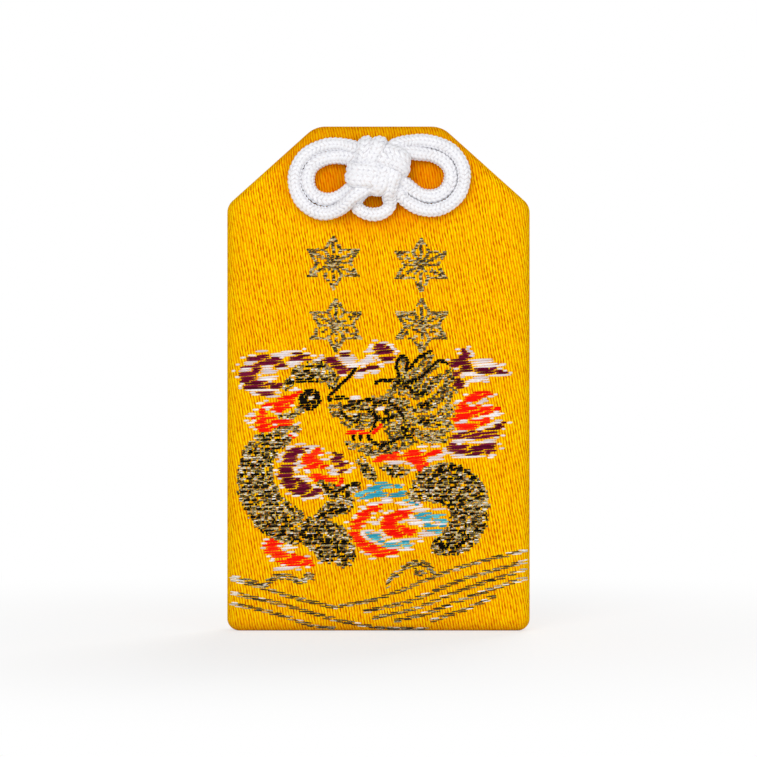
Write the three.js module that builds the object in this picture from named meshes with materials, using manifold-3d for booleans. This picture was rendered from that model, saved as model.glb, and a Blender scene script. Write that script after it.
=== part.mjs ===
// A charm pouch of stiffened brocade, tied shut by a doubled crown knot of braided cord.
// It stands on its folded bottom edge: x runs across, y from front to back, z up.
// The origin is the middle of the bottom edge, and all sizes are millimetres.

import * as THREE from "three";
import { mergeVertices } from "three/addons/utils/BufferGeometryUtils.js";
import Module from "manifold-3d";

const wasm = await Module();
wasm.setup();

// Pouch outline
const POUCH_WIDTH = 45;
const POUCH_HEIGHT = 75;
const SHOULDER_RUN = 13.1;
const SHOULDER_DROP = 11.75;
const TOP_CORNER_RADIUS = 4;
const SHOULDER_RADIUS = 2.4;
const BOTTOM_RADIUS = 1.8;
const EDGE_RADIUS = 1.6;
const LEAST_RADIUS = 0.2;

// Layers, from the cloth inwards
const CLOTH = 0.6;
const LAYER_GAP = 0.15;
const CARD = 0.8;
const SLIDE_GAP = 0.3;
const PAPER = 0.3;
const SLIP_THICKNESS = 2.1;

// Wrapped slip: the room left beside and above it, and how its top is trimmed
const SIDE_ROOM = 5.5;
const TOP_ROOM = 1.2;
const SLIP_RECESS = 4;
const SLIP_TRIM = 5;

// Seams up the two sides, with the open mouth over the shoulders and the top
const FOLD_HEIGHT = 4;
const SEAM_SLIT = 0.3;
const GROOVE_DEPTH = 0.5;
const GROOVE_WIDTH = 2.4;
const THREAD = 0.3;
const THREAD_SINK = 0.2;
const THREAD_SWAY = 0.2;
const STITCH = 1.7;

// Braided cord: the firm core of the braid, squeezed where the crown knot grips it,
// and its slot through the pouch, with a web of card left above it
const CORD_CORE = 1.5;
const GRIPPED_CORE = 0.8;
const GRIP_INNER = 4.6;
const GRIP_OUTER = 6.5;
const STRAND_PITCH = 2.05;
const CARD_WEB = 0.55;
const HOLE_ACROSS = -0.9;
const HOLE_UP = 2.6;
const HOLE_GAP = 0.3;
const CORD_REST = 1.05;
const LOOP_STANDOFF = 1.3;
const JOINT_GAP = 0.3;

// How the knot is drawn tight: strands are pushed apart until they clear each other
const CROWN_GAP = 0.64;
const EAR_GAP = 0.47;
const SETTLE_STEP = 0.6;
const SETTLE_ROUNDS = 150;
const PUSH_SHARE = 0.35;
const SMOOTH_SHARE = 0.08;
const RETURN_SHARE = 0.01;
const HELD_REACH = 0.2;
const OWN_REACH = 4;

// Facets
const CORNER_STEPS = 4;
const EDGE_STEPS = 4;
const CORD_SIDES = 8;
const KNOT_STEP = 0.9;
const LOOP_STEP = 2;
const THREAD_SIDES = 5;

// What follows from the sizes above
const POUCH_THICKNESS = SLIP_THICKNESS + 2 * (SLIDE_GAP + PAPER + SLIDE_GAP + CARD + LAYER_GAP + CLOTH);
const FACE = POUCH_THICKNESS / 2;
const SHOULDER_HEIGHT = POUCH_HEIGHT - SHOULDER_DROP;
const CARD_INSET = Math.max(EDGE_RADIUS, CLOTH + SLIDE_GAP);
const HOLE_RADIUS = CORD_CORE / 2 + HOLE_GAP;
const HOLE_HEIGHT = POUCH_HEIGHT - CARD_INSET - CARD_WEB - HOLE_RADIUS;
const KNOT_HEIGHT = HOLE_HEIGHT - HOLE_UP;
const HINGE_DEPTH = FACE + LOOP_STANDOFF;
const STUB_END = HINGE_DEPTH - CORD_CORE / 2 - JOINT_GAP;

// Solids lofted from rings of points
function loft(rings, joinEnds = false) {
  const count = rings[0].length;
  const faces = [];
  const bands = joinEnds ? rings.length : rings.length - 1;
  for (let band = 0; band < bands; band++) {
    const here = band * count;
    const next = ((band + 1) % rings.length) * count;
    for (let i = 0; i < count; i++) {
      const j = (i + 1) % count;
      faces.push(here + i, next + i, next + j, here + i, next + j, here + j);
    }
  }
  if (!joinEnds) {
    const last = (rings.length - 1) * count;
    for (let i = 1; i < count - 1; i++) {
      faces.push(0, i, i + 1, last, last + i + 1, last + i);
    }
  }
  const positions = rings.flat().flatMap((point) => point.toArray());
  const geometry = new THREE.BufferGeometry();
  geometry.setAttribute("position", new THREE.Float32BufferAttribute(positions, 3));
  geometry.setIndex(faces);
  geometry.computeVertexNormals();
  return geometry;
}

// A convex outline in x and z, carried from one depth to another
function prism(outline, nearDepth, farDepth) {
  const ring = (depth) => outline.map(([x, z]) => new THREE.Vector3(x, depth, z));
  return loft([ring(nearDepth), ring(farDepth)]);
}

function rectangle(left, right, low, high) {
  return [[left, low], [right, low], [right, high], [left, high]];
}

// Booleans
function toSolid(geometry) {
  const bare = geometry.clone();
  bare.deleteAttribute("normal");
  bare.deleteAttribute("uv");
  const merged = mergeVertices(bare, 1e-5);
  return new wasm.Manifold(new wasm.Mesh({
    numProp: 3,
    vertProperties: new Float32Array(merged.attributes.position.array),
    triVerts: new Uint32Array(merged.index.array),
  }));
}

function toGeometry(solid) {
  const mesh = solid.getMesh();
  const geometry = new THREE.BufferGeometry();
  geometry.setAttribute("position", new THREE.BufferAttribute(mesh.vertProperties, 3));
  geometry.setIndex(new THREE.BufferAttribute(mesh.triVerts, 1));
  geometry.computeVertexNormals();
  return geometry;
}

function cut(geometry, ...tools) {
  return toGeometry(tools.reduce((solid, tool) => solid.subtract(toSolid(tool)), toSolid(geometry)));
}

// The pouch outline, drawn in by an inset, with the same number of points at every inset
function pouchOutline(inset) {
  const side = POUCH_WIDTH / 2;
  const top = side - SHOULDER_RUN;
  const corners = [
    [-side, 0, BOTTOM_RADIUS],
    [side, 0, BOTTOM_RADIUS],
    [side, SHOULDER_HEIGHT, SHOULDER_RADIUS],
    [top, POUCH_HEIGHT, TOP_CORNER_RADIUS],
    [-top, POUCH_HEIGHT, TOP_CORNER_RADIUS],
    [-side, SHOULDER_HEIGHT, SHOULDER_RADIUS],
  ];
  return corners.flatMap(([x, z, radius], index) => {
    const before = corners.at(index - 1);
    const after = corners[(index + 1) % corners.length];
    const arriving = new THREE.Vector2(x - before[0], z - before[1]).normalize();
    const leaving = new THREE.Vector2(after[0] - x, after[1] - z).normalize();
    return roundedCorner(new THREE.Vector2(x, z), arriving, leaving, radius, inset);
  });
}

function roundedCorner(corner, arriving, leaving, radius, inset) {
  const inFrom = new THREE.Vector2(-arriving.y, arriving.x);
  const inTo = new THREE.Vector2(-leaving.y, leaving.x);
  const turn = Math.acos(arriving.dot(leaving));
  const round = Math.max(radius - inset, LEAST_RADIUS);
  const shift = inFrom.clone().add(inTo).multiplyScalar(inset / (1 + inFrom.dot(inTo)));
  const start = corner.clone().add(shift).addScaledVector(arriving, -round * Math.tan(turn / 2));
  const centre = start.clone().addScaledVector(inFrom, round);
  const points = [];
  for (let step = 0; step <= CORNER_STEPS; step++) {
    const spoke = start.clone().rotateAround(centre, (turn * step) / CORNER_STEPS);
    points.push([spoke.x, spoke.y]);
  }
  return points;
}

function pouchRing(inset, depth) {
  return pouchOutline(inset).map(([x, z]) => new THREE.Vector3(x, depth, z));
}

// A flat body with rounded edges all round
function roundedBody(inset, halfThickness, edgeRadius) {
  const front = [];
  const back = [];
  for (let step = 0; step <= EDGE_STEPS; step++) {
    const angle = (Math.PI / 2) * (step / EDGE_STEPS);
    const drawnIn = inset + edgeRadius * (1 - Math.sin(angle));
    const depth = halfThickness - edgeRadius * (1 - Math.cos(angle));
    front.push(pouchRing(drawnIn, -depth));
    back.unshift(pouchRing(drawnIn, depth));
  }
  return loft([...front, ...back]);
}

// The slit between the front and rear edges of the cloth, opening out into a groove
function seamCutter() {
  const half = SEAM_SLIT / 2;
  const spill = 0.2;
  const slope = (GROOVE_WIDTH / 2 - half) / GROOVE_DEPTH;
  const wide = GROOVE_WIDTH / 2 + spill * slope;
  const loop = loft([
    pouchRing(-spill, -wide),
    pouchRing(-spill, wide),
    pouchRing(GROOVE_DEPTH, half),
    pouchRing(CLOTH + spill, half),
    pouchRing(CLOTH + spill, -half),
    pouchRing(GROOVE_DEPTH, -half),
  ], true);
  const aboveFold = prism(rectangle(-POUCH_WIDTH, POUCH_WIDTH, FOLD_HEIGHT, 2 * POUCH_HEIGHT), -FACE, FACE);
  return toGeometry(toSolid(loop).intersect(toSolid(aboveFold)));
}

// The slot that both strands of the cord pass through
function cordSlot() {
  const outline = [];
  for (const end of [1, -1]) {
    for (let step = 0; step <= 2 * CORNER_STEPS; step++) {
      const angle = Math.PI * (step / (2 * CORNER_STEPS)) - (end * Math.PI) / 2;
      const x = HOLE_ACROSS + (end * STRAND_PITCH) / 2 + HOLE_RADIUS * Math.cos(angle);
      outline.push([x, HOLE_HEIGHT + HOLE_RADIUS * Math.sin(angle)]);
    }
  }
  return prism(outline, -POUCH_THICKNESS, POUCH_THICKNESS);
}

// One strip of brocade, folded at the bottom, hollow, and open along its sides and mouth
function brocadePouch() {
  const outside = roundedBody(0, FACE, EDGE_RADIUS);
  const hollow = roundedBody(CLOTH, FACE - CLOTH, Math.max(EDGE_RADIUS - CLOTH, LEAST_RADIUS));
  return cut(outside, hollow, seamCutter(), cordSlot());
}

// A stiff card behind each face, ending where the edge starts to round over
function stiffCard(side) {
  const outer = side * (FACE - CLOTH - LAYER_GAP);
  const inner = outer - side * CARD;
  const board = prism(pouchOutline(CARD_INSET), Math.min(outer, inner), Math.max(outer, inner));
  return cut(board, cordSlot());
}

// The slip in its folded paper, standing on the bottom of the pocket
const WRAPPER_HALF_WIDTH = POUCH_WIDTH / 2 - SIDE_ROOM;
const WRAPPER_HALF_DEPTH = SLIP_THICKNESS / 2 + SLIDE_GAP + PAPER;
const WRAPPER_FOOT = CLOTH + SLIDE_GAP;
const WRAPPER_TOP = SHOULDER_HEIGHT - TOP_ROOM;

function slipWrapper() {
  const half = WRAPPER_HALF_WIDTH;
  const inside = half - PAPER;
  const outer = prism(
    rectangle(-half, half, WRAPPER_FOOT, WRAPPER_TOP),
    -WRAPPER_HALF_DEPTH,
    WRAPPER_HALF_DEPTH,
  );
  const pocket = prism(
    rectangle(-inside, inside, WRAPPER_FOOT + PAPER, WRAPPER_TOP + PAPER),
    PAPER - WRAPPER_HALF_DEPTH,
    WRAPPER_HALF_DEPTH - PAPER,
  );
  return cut(outer, pocket);
}

function woodenSlip() {
  const half = WRAPPER_HALF_WIDTH - PAPER - SLIDE_GAP;
  const foot = WRAPPER_FOOT + PAPER + SLIDE_GAP;
  const top = WRAPPER_TOP - SLIP_RECESS;
  const outline = [
    [-half, foot],
    [half, foot],
    [half, top - SLIP_TRIM],
    [half - SLIP_TRIM, top],
    [SLIP_TRIM - half, top],
    [-half, top - SLIP_TRIM],
  ];
  return prism(outline, -SLIP_THICKNESS / 2, SLIP_THICKNESS / 2);
}

// Sewing thread, swaying from the front edge to the rear one along the groove
function seamThread(side) {
  const across = side * (POUCH_WIDTH / 2 - THREAD_SINK);
  const low = FOLD_HEIGHT + STITCH;
  const stitches = Math.floor((SHOULDER_HEIGHT - SHOULDER_RADIUS - low) / STITCH);
  const points = [];
  for (let i = 0; i <= stitches; i++) {
    points.push(new THREE.Vector3(across, (i % 2 ? 1 : -1) * THREAD_SWAY, low + i * STITCH));
  }
  const section = new THREE.Shape();
  section.absarc(0, 0, THREAD / 2, 0, 2 * Math.PI);
  return new THREE.ExtrudeGeometry(new THREE.Shape(section.getPoints(THREAD_SIDES).slice(1)), {
    extrudePath: new THREE.CatmullRomCurve3(points, false, "catmullrom", 0.3),
    steps: 2 * stitches,
    bevelEnabled: false,
  });
}

// The knot's route: across, up from the knot's centre, and out from the front face.
// Each strand makes a strap, the left ear, the upper cross strap, the run behind, the lower
// cross strap, the right ear and the last strap, and the bottom loop joins the two strands.
const FIRST_STRAND = [
  [-2.1, 2.9, 0.9], [-2.05, 3.35, 2.1], [-2.0, 3.1, 3.2], [-2.0, 2.25, 3.65], [-2.15, 0.9, 3.65],
  [-2.4, 0, 3.1], [-2.55, -1.1, 2.35], [-2.6, -2.55, 2.35], [-3.0, -3.7, 1.7], [-4.3, -4.4, 1.15],
  [-6.2, -5.3, 1.05], [-8.1, -5.5, 1.05], [-10.0, -4.55, 1.05], [-10.75, -2.3, 1.05], [-10.0, -0.1, 1.05],
  [-8.2, 0.95, 1.05], [-6.0, 1.25, 1.05], [-4.4, 1.0, 1.45], [-3.3, 0.7, 2.1], [-2.2, 0.35, 2.35],
  [-1.0, 0.3, 2.35], [0, 0.5, 3], [1.1, 0.4, 3.65], [2.3, -0.1, 3.65], [3.3, -0.7, 3.15],
  [3.65, -1.0, 2.35], [3.3, -1.15, 1.45], [2.4, -1.3, 1.05], [0.8, -1.5, 1.05], [-0.8, -1.9, 1.05],
  [-2.5, -2.4, 1.05], [-3.5, -2.5, 1.45], [-3.85, -2.5, 2.35], [-3.5, -2.45, 3.25], [-2.55, -2.5, 3.65],
  [-1.1, -2.55, 3.65], [0, -2.55, 3], [1.1, -2.85, 2.35], [2.2, -3.4, 2.25], [3.1, -4.6, 1.55],
  [4.7, -6.05, 1.1], [7.35, -7.05, 1.05], [9.85, -6.5, 1.05], [11.85, -4.95, 1.05], [12.8, -2.65, 1.05],
  [12.6, -0.25, 1.05], [11.4, 1.7, 1.05], [9.4, 2.95, 1.05], [6.8, 3.4, 1.05], [4.5, 3.35, 1.15],
  [3.1, 3.05, 1.7], [2.0, 2.6, 2.25], [1.35, 1.9, 2.35], [1.1, 1.1, 2.35], [1.1, 0.2, 2.45],
  [0.9, -0.4, 3], [0.55, -1.2, 3.65], [0.05, -2.3, 3.65], [-0.45, -2.9, 3.25], [-0.8, -3.1, 2.35],
  [-1.8, -3.3, 1.4],
];
const BOTTOM_LOOP = [
  [-3.2, -4.0, 1.05], [-4.1, -4.9, 1.05], [-3.9, -6.1, 1.05], [-2.6, -7.2, 1.05], [-0.8, -7.7, 1.05],
  [0.85, -7.4, 1.05], [2.0, -6.45, 1.05], [2.15, -5.4, 1.05],
];
const SECOND_STRAND = [
  [0.15, 2.75, 0.9], [0.35, 3.1, 2.1], [0.45, 2.9, 3.2], [0.4, 2.2, 3.65], [-0.1, 0.9, 3.65],
  [-0.8, 0, 3.1], [-1.1, -1.1, 2.35], [-1.1, -2.3, 2.35], [-1.7, -3.1, 2.4], [-2.8, -3.85, 2.55],
  [-3.8, -4.8, 2.75], [-5.0, -6.2, 2.2], [-6.9, -7.35, 1.15], [-8.55, -7.5, 1.05], [-10.7, -6.5, 1.05],
  [-12.2, -4.45, 1.05], [-12.62, -2.1, 1.05], [-11.9, 0.4, 1.05], [-10.05, 2.15, 1.05], [-8.0, 2.85, 1.05],
  [-6.0, 3.05, 1.05], [-4.5, 2.7, 1.45], [-3.4, 2.25, 2.1], [-2.2, 1.75, 2.35], [-1.0, 1.7, 2.35],
  [0.1, 1.85, 3], [1.2, 1.9, 3.65], [2.4, 1.4, 3.65], [3.5, 0.75, 3.15], [3.8, 0.45, 2.35],
  [3.4, 0.35, 1.45], [2.5, 0.3, 1.05], [0.8, 0.2, 1.05], [-0.8, -0.3, 1.05], [-2.5, -0.85, 1.05],
  [-3.5, -0.9, 1.45], [-3.85, -0.85, 2.35], [-3.5, -0.8, 3.25], [-2.55, -0.9, 3.65], [-1.1, -1.05, 3.65],
  [0, -1.1, 3], [1.1, -1.3, 2.35], [2.4, -1.8, 2.3], [3.4, -2.5, 1.7], [4.2, -3.35, 1.2],
  [5.4, -4.35, 1.05], [7.5, -5.05, 1.05], [9.55, -4.5, 1.05], [10.8, -3.0, 1.05], [11.0, -1.1, 1.05],
  [10.2, 0.4, 1.05], [8.5, 1.4, 1.05], [6.7, 1.75, 1.05], [5.0, 1.8, 1.25], [3.9, 1.8, 1.75],
  [3.0, 1.5, 2.25], [2.6, 0.8, 2.35], [2.5, 0, 2.55], [2.35, -0.5, 3.1], [2.25, -1.2, 3.65],
  [2.0, -2.5, 3.65], [1.75, -3.5, 3.25], [1.7, -3.95, 2.35], [1.9, -4.5, 1.45],
];

// How hard the cord is squeezed: fully in the crown, and not in the ears or inside the pouch
function grip(point) {
  const fromCentre = Math.hypot(point.x, point.z - KNOT_HEIGHT);
  const outside = THREE.MathUtils.smoothstep(fromCentre, GRIP_INNER, GRIP_OUTER);
  const within = THREE.MathUtils.smoothstep(point.y, -FACE - CORD_REST, -FACE);
  return 1 - Math.max(outside, within);
}

function coreRadius(point) {
  return THREE.MathUtils.lerp(CORD_CORE, GRIPPED_CORE, grip(point)) / 2;
}

// The room a strand takes up: its core and half the gap to the next strand
function strandRoom(point) {
  return THREE.MathUtils.lerp(CORD_CORE + EAR_GAP, GRIPPED_CORE + CROWN_GAP, grip(point)) / 2;
}

function throughPouch(side) {
  const across = HOLE_ACROSS + (side * STRAND_PITCH) / 2;
  return [STUB_END, 0, -FACE].map((depth) => new THREE.Vector3(across, depth, HOLE_HEIGHT));
}

function knotRoute() {
  const place = ([across, up, out]) => new THREE.Vector3(across, -FACE - out, KNOT_HEIGHT + up);
  return [
    ...throughPouch(-1),
    ...[...FIRST_STRAND, ...BOTTOM_LOOP, ...SECOND_STRAND.toReversed()].map(place),
    ...throughPouch(1).toReversed(),
  ];
}

function smoothCurve(points) {
  const curve = new THREE.CatmullRomCurve3(points, false, "centripetal");
  curve.arcLengthDivisions = 12 * points.length;
  return curve;
}

function evenPoints(curve, step) {
  return curve.getSpacedPoints(Math.round(curve.getLength() / step));
}

// Pushes strands apart where they crowd each other, and keeps the cord smooth and off the cloth
function settle(route) {
  const chosen = evenPoints(smoothCurve(route), SETTLE_STEP);
  const held = chosen.map((point) => point.y > -FACE - HELD_REACH);
  const reach = Math.ceil(OWN_REACH / SETTLE_STEP);
  let points = chosen;
  for (let round = 0; round < SETTLE_ROUNDS; round++) {
    const pushes = strandPushes(points, reach);
    points = points.map((point, i) => {
      if (held[i]) {
        return point;
      }
      const between = points[i - 1].clone().add(points[i + 1]).multiplyScalar(0.5);
      const moved = point.clone().add(pushes[i]);
      moved.lerp(between, SMOOTH_SHARE).lerp(chosen[i], RETURN_SHARE);
      moved.y = Math.min(moved.y, -FACE - CORD_REST);
      return moved;
    });
  }
  return smoothCurve(points);
}

function strandPushes(points, reach) {
  const pushes = points.map(() => new THREE.Vector3());
  const rooms = points.map(strandRoom);
  for (let i = 0; i < points.length; i++) {
    for (let j = i + reach; j < points.length; j++) {
      const apart = points[i].clone().sub(points[j]);
      const short = rooms[i] + rooms[j] - apart.length();
      if (short > 0) {
        apart.setLength(PUSH_SHARE * short);
        pushes[i].add(apart);
        pushes[j].sub(apart);
      }
    }
  }
  return pushes;
}

// The least gap between two stretches of one cord, measured on points along it
function leastGap(curve, radiusAt) {
  const step = 0.25;
  const points = evenPoints(curve, step);
  const radii = points.map(radiusAt);
  let least = Infinity;
  for (let i = 0; i < points.length; i++) {
    for (let j = i + Math.ceil(OWN_REACH / step); j < points.length; j++) {
      least = Math.min(least, points[i].distanceTo(points[j]) - radii[i] - radii[j]);
    }
  }
  return least;
}

// One unbroken tube along a curve
function cordSolid(curve, step, radiusAt) {
  const steps = Math.round(curve.getLength() / step);
  const frames = curve.computeFrenetFrames(steps);
  const rings = [];
  for (let i = 0; i <= steps; i++) {
    const centre = curve.getPointAt(i / steps);
    const radius = radiusAt(centre);
    const ring = [];
    for (let side = 0; side < CORD_SIDES; side++) {
      const angle = (-2 * Math.PI * side) / CORD_SIDES;
      const rim = centre.clone();
      rim.addScaledVector(frames.normals[i], radius * Math.cos(angle));
      rim.addScaledVector(frames.binormals[i], radius * Math.sin(angle));
      ring.push(rim);
    }
    rings.push(ring);
  }
  return loft(rings);
}

// The loop that the charm hangs by: each strand's way out from its place in the slot, and down
const LOOP_TOP = [[0, 0], [0, 2.5], [0, 6.4]];
const LOOP_HALF = [[0.1, 14], [0.75, 19], [1.9, 26], [3.2, 34.5], [4.1, 42], [4.3, 47], [3.1, 51.2]];
const LOOP_FOOT = [0, 53];

function hangingLoopCurve() {
  const half = [...LOOP_TOP, ...LOOP_HALF].map(([across, down]) => [across + STRAND_PITCH / 2, down]);
  const place = ([across, down]) => new THREE.Vector3(HOLE_ACROSS + across, HINGE_DEPTH, HOLE_HEIGHT - down);
  const mirrored = half.map(([across, down]) => [-across, down]);
  return smoothCurve([...mirrored, LOOP_FOOT, ...half.toReversed()].map(place));
}

// Finishes
const brocade = new THREE.MeshStandardMaterial({ color: 0xf0ae08, roughness: 0.55, metalness: 0 });
const cordWhite = new THREE.MeshStandardMaterial({ color: 0xeeebea, roughness: 0.7, metalness: 0 });
const threadYellow = new THREE.MeshStandardMaterial({ color: 0xe09a0c, roughness: 0.6, metalness: 0 });
const cardGrey = new THREE.MeshStandardMaterial({ color: 0xb9ad97, roughness: 0.9, metalness: 0 });
const paperWhite = new THREE.MeshStandardMaterial({ color: 0xf4f1e8, roughness: 0.85, metalness: 0 });
const paleWood = new THREE.MeshStandardMaterial({ color: 0xd9b98a, roughness: 0.7, metalness: 0 });

const charm = new THREE.Group();

function add(name, geometry, material) {
  const mesh = new THREE.Mesh(geometry, material);
  mesh.name = name;
  charm.add(mesh);
}

const knotCurve = settle(knotRoute());
const loopCurve = hangingLoopCurve();
const loopRadius = () => CORD_CORE / 2;
console.log("knot_cord: length", knotCurve.getLength().toFixed(1), "mm, least gap to itself",
  leastGap(knotCurve, coreRadius).toFixed(2), "mm");
console.log("hanging_loop: length", loopCurve.getLength().toFixed(1), "mm, least gap to itself",
  leastGap(loopCurve, loopRadius).toFixed(2), "mm");

add("brocade_pouch", brocadePouch(), brocade);
add("left_seam_thread", seamThread(-1), threadYellow);
add("right_seam_thread", seamThread(1), threadYellow);
add("front_card", stiffCard(-1), cardGrey);
add("rear_card", stiffCard(1), cardGrey);
add("slip_wrapper", slipWrapper(), paperWhite);
add("wooden_slip", woodenSlip(), paleWood);
add("knot_cord", cordSolid(knotCurve, KNOT_STEP, coreRadius), cordWhite);
add("hanging_loop", cordSolid(loopCurve, LOOP_STEP, loopRadius), cordWhite);

export default charm;
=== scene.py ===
"""A charm pouch of yellow brocade, closed by a doubled crown knot of white braided cord."""

import math

import bmesh
import bpy
import numpy as np
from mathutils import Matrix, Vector
from mathutils.geometry import delaunay_2d_cdt


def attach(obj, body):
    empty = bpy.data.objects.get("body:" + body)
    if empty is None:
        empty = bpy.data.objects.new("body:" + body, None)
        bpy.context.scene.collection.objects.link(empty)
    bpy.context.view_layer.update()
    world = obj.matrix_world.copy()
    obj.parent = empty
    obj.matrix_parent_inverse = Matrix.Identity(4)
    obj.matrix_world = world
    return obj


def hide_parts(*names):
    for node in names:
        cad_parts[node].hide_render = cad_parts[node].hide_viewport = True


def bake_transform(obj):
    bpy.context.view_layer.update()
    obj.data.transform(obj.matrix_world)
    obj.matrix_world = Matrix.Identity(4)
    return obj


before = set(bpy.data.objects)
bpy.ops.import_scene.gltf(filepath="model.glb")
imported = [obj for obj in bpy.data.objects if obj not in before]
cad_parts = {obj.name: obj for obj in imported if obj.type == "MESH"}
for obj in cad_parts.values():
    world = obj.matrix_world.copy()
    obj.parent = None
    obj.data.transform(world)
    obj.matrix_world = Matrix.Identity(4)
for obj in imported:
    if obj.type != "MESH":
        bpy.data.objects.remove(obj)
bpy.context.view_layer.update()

MM = 0.001

# The pouch, in millimetres, as its solids have it
POUCH_WIDTH = 45.0
POUCH_HEIGHT = 75.0
FACE = 3.5
EDGE_RADIUS = 1.6
SHOULDER_RUN = 13.1
SHOULDER_DROP = 11.75
TOP_CORNER_RADIUS = 4.0
SHOULDER_RADIUS = 2.4
BOTTOM_RADIUS = 1.8
FOLD_HEIGHT = 4.0
SLIT = 0.015
GROOVE_DEPTH = 0.36
GROOVE_HALF = 1.2
HEM = 0.62
CLOTH = 0.3
LEAST_RADIUS = 0.2

# The cord and its slot
CORD_RADIUS = 1.03
CORD_CORE = 1.5
GRIPPED_CORE = 0.8
GRIP_INNER = 4.6
GRIP_OUTER = 6.5
STRAND_PITCH = 2.05
HOLE_ACROSS = -0.9
HOLE_HEIGHT = 71.8
HOLE_RADIUS = 1.05
KNOT_HEIGHT = 69.2
CORD_REST = 1.05
HINGE_DEPTH = 4.8
STUB_END = 3.75
CROWN_GAP = 0.64
EAR_GAP = 0.47
SETTLE_STEP = 0.6
SETTLE_ROUNDS = 150
OWN_REACH = 4.0
PUSH_SHARE = 0.35
SMOOTH_SHARE = 0.08
RETURN_SHARE = 0.01
HELD_REACH = 0.2

# Weaving: the warp's satin floats, the picks, and the part of the face that has a picture
WARP_PITCH = 0.408
WARP_FLOAT = 2.1
WARP_FLECK = 1.15
WARP_LEAN = 0.175
PICK = 0.32
SAMPLE = 0.13
PICTURE_HALF = 22.3
PICTURE_FOOT = 0.25
PICTURE_TOP = 62.0


def smoothstep(low, high, value):
    share = np.clip((value - low) / (high - low), 0.0, 1.0)
    return share * share * (3.0 - 2.0 * share)


# Node trees

class Wire:
    """A socket of a node tree that can be used in arithmetic."""

    def __init__(self, tree, socket):
        self.tree = tree
        self.socket = socket

    def maths(self, operation, *others):
        values = dict(enumerate((self, *others)))
        return self.tree.add("ShaderNodeMath", {"operation": operation}, values)

    def __add__(self, other):
        return self.maths("ADD", other)

    def __sub__(self, other):
        return self.maths("SUBTRACT", other)

    def __rsub__(self, other):
        return self.tree.add("ShaderNodeMath", {"operation": "SUBTRACT"}, {0: other, 1: self})

    def __mul__(self, other):
        return self.maths("MULTIPLY", other)

    def __truediv__(self, other):
        return self.maths("DIVIDE", other)

    def __pow__(self, other):
        return self.maths("POWER", other)

    __radd__ = __add__
    __rmul__ = __mul__

    def floor(self):
        return self.maths("FLOOR")

    def fraction(self):
        return self.maths("FRACT")

    def hump(self):
        """Zero at both ends of a cell and one in its middle."""
        return (self * math.pi).maths("SINE")

    def above(self, low, high):
        """A soft step from zero at low to one at high."""
        return self.tree.add("ShaderNodeMapRange", {"interpolation_type": "SMOOTHSTEP"},
                             {"Value": self, "From Min": low, "From Max": high})

    def output(self, name):
        return Wire(self.tree, self.socket.node.outputs[name])


class Tree:
    """Adds nodes to one tree: a node's type, its settings, and the values or links of its sockets."""

    def __init__(self, tree):
        self.tree = tree

    def add(self, kind, settings=None, sockets=None, out=0):
        node = self.tree.nodes.new(kind)
        for name, value in (settings or {}).items():
            setattr(node, name, value)
        for key, value in (sockets or {}).items():
            if isinstance(value, Wire):
                self.tree.links.new(value.socket, node.inputs[key])
            else:
                node.inputs[key].default_value = value
        return Wire(self, node.outputs[out]) if len(node.outputs) else node

    def mix(self, share, first, second):
        return self.add("ShaderNodeMix", {"data_type": "RGBA"}, {0: share, 6: first, 7: second}, out=2)

    def noise(self, where, scale, detail=2.0):
        return self.add("ShaderNodeTexNoise", None, {"Vector": where, "Scale": scale, "Detail": detail})

    def vector(self, x, y, z=0.0):
        return self.add("ShaderNodeCombineXYZ", None, {"X": x, "Y": y, "Z": z})

    def place(self):
        """The piece's own coordinates."""
        return self.add("ShaderNodeTexCoord", None, None, "Object")

    def stretched(self, where, factors):
        return self.add("ShaderNodeVectorMath", {"operation": "MULTIPLY"}, {0: where, 1: factors})

    def attribute(self, name):
        return self.add("ShaderNodeAttribute", {"attribute_name": name}, None, "Fac")

    def speckle(self, across, along):
        """A steady random number for each cell."""
        cell = self.vector(across, along)
        return self.add("ShaderNodeTexWhiteNoise", {"noise_dimensions": "2D"}, {"Vector": cell})

    def bump(self, height, strength, depth):
        return self.add("ShaderNodeBump", None,
                        {"Height": height, "Strength": strength, "Distance": depth * MM}, out="Normal")


def tone(red, green, blue):
    """A colour given in display values, as a linear one."""
    def linear(value):
        value /= 255.0
        return value / 12.92 if value <= 0.04045 else ((value + 0.055) / 1.055) ** 2.4
    return (linear(red), linear(green), linear(blue), 1.0)


def finish_of(name, **constants):
    """A material, its tree and its shader, with the sockets that stay the same all over."""
    material = bpy.data.materials.new(name)
    material.use_nodes = True
    shader = material.node_tree.nodes["Principled BSDF"]
    for socket, value in constants.items():
        shader.inputs[socket.replace("_", " ").title().replace("Ior", "IOR")].default_value = value
    return material, Tree(material.node_tree), shader


def feed(tree, shader, **wires):
    """Links what changes over a surface to the shader's sockets."""
    for socket, wire in wires.items():
        tree.tree.links.new(wire.socket, shader.inputs[socket.replace("_", " ").title()])


def bare_tree(owner):
    """The node tree of a material or a world, emptied."""
    owner.use_nodes = True
    owner.node_tree.nodes.clear()
    return Tree(owner.node_tree)


# Meshes

def wear(mesh, material):
    mesh.materials.clear()
    mesh.materials.append(material)


def add_piece(name, mesh, material=None):
    piece = bpy.data.objects.new(name, mesh)
    bpy.context.scene.collection.objects.link(piece)
    if material:
        wear(mesh, material)
    return piece


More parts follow.
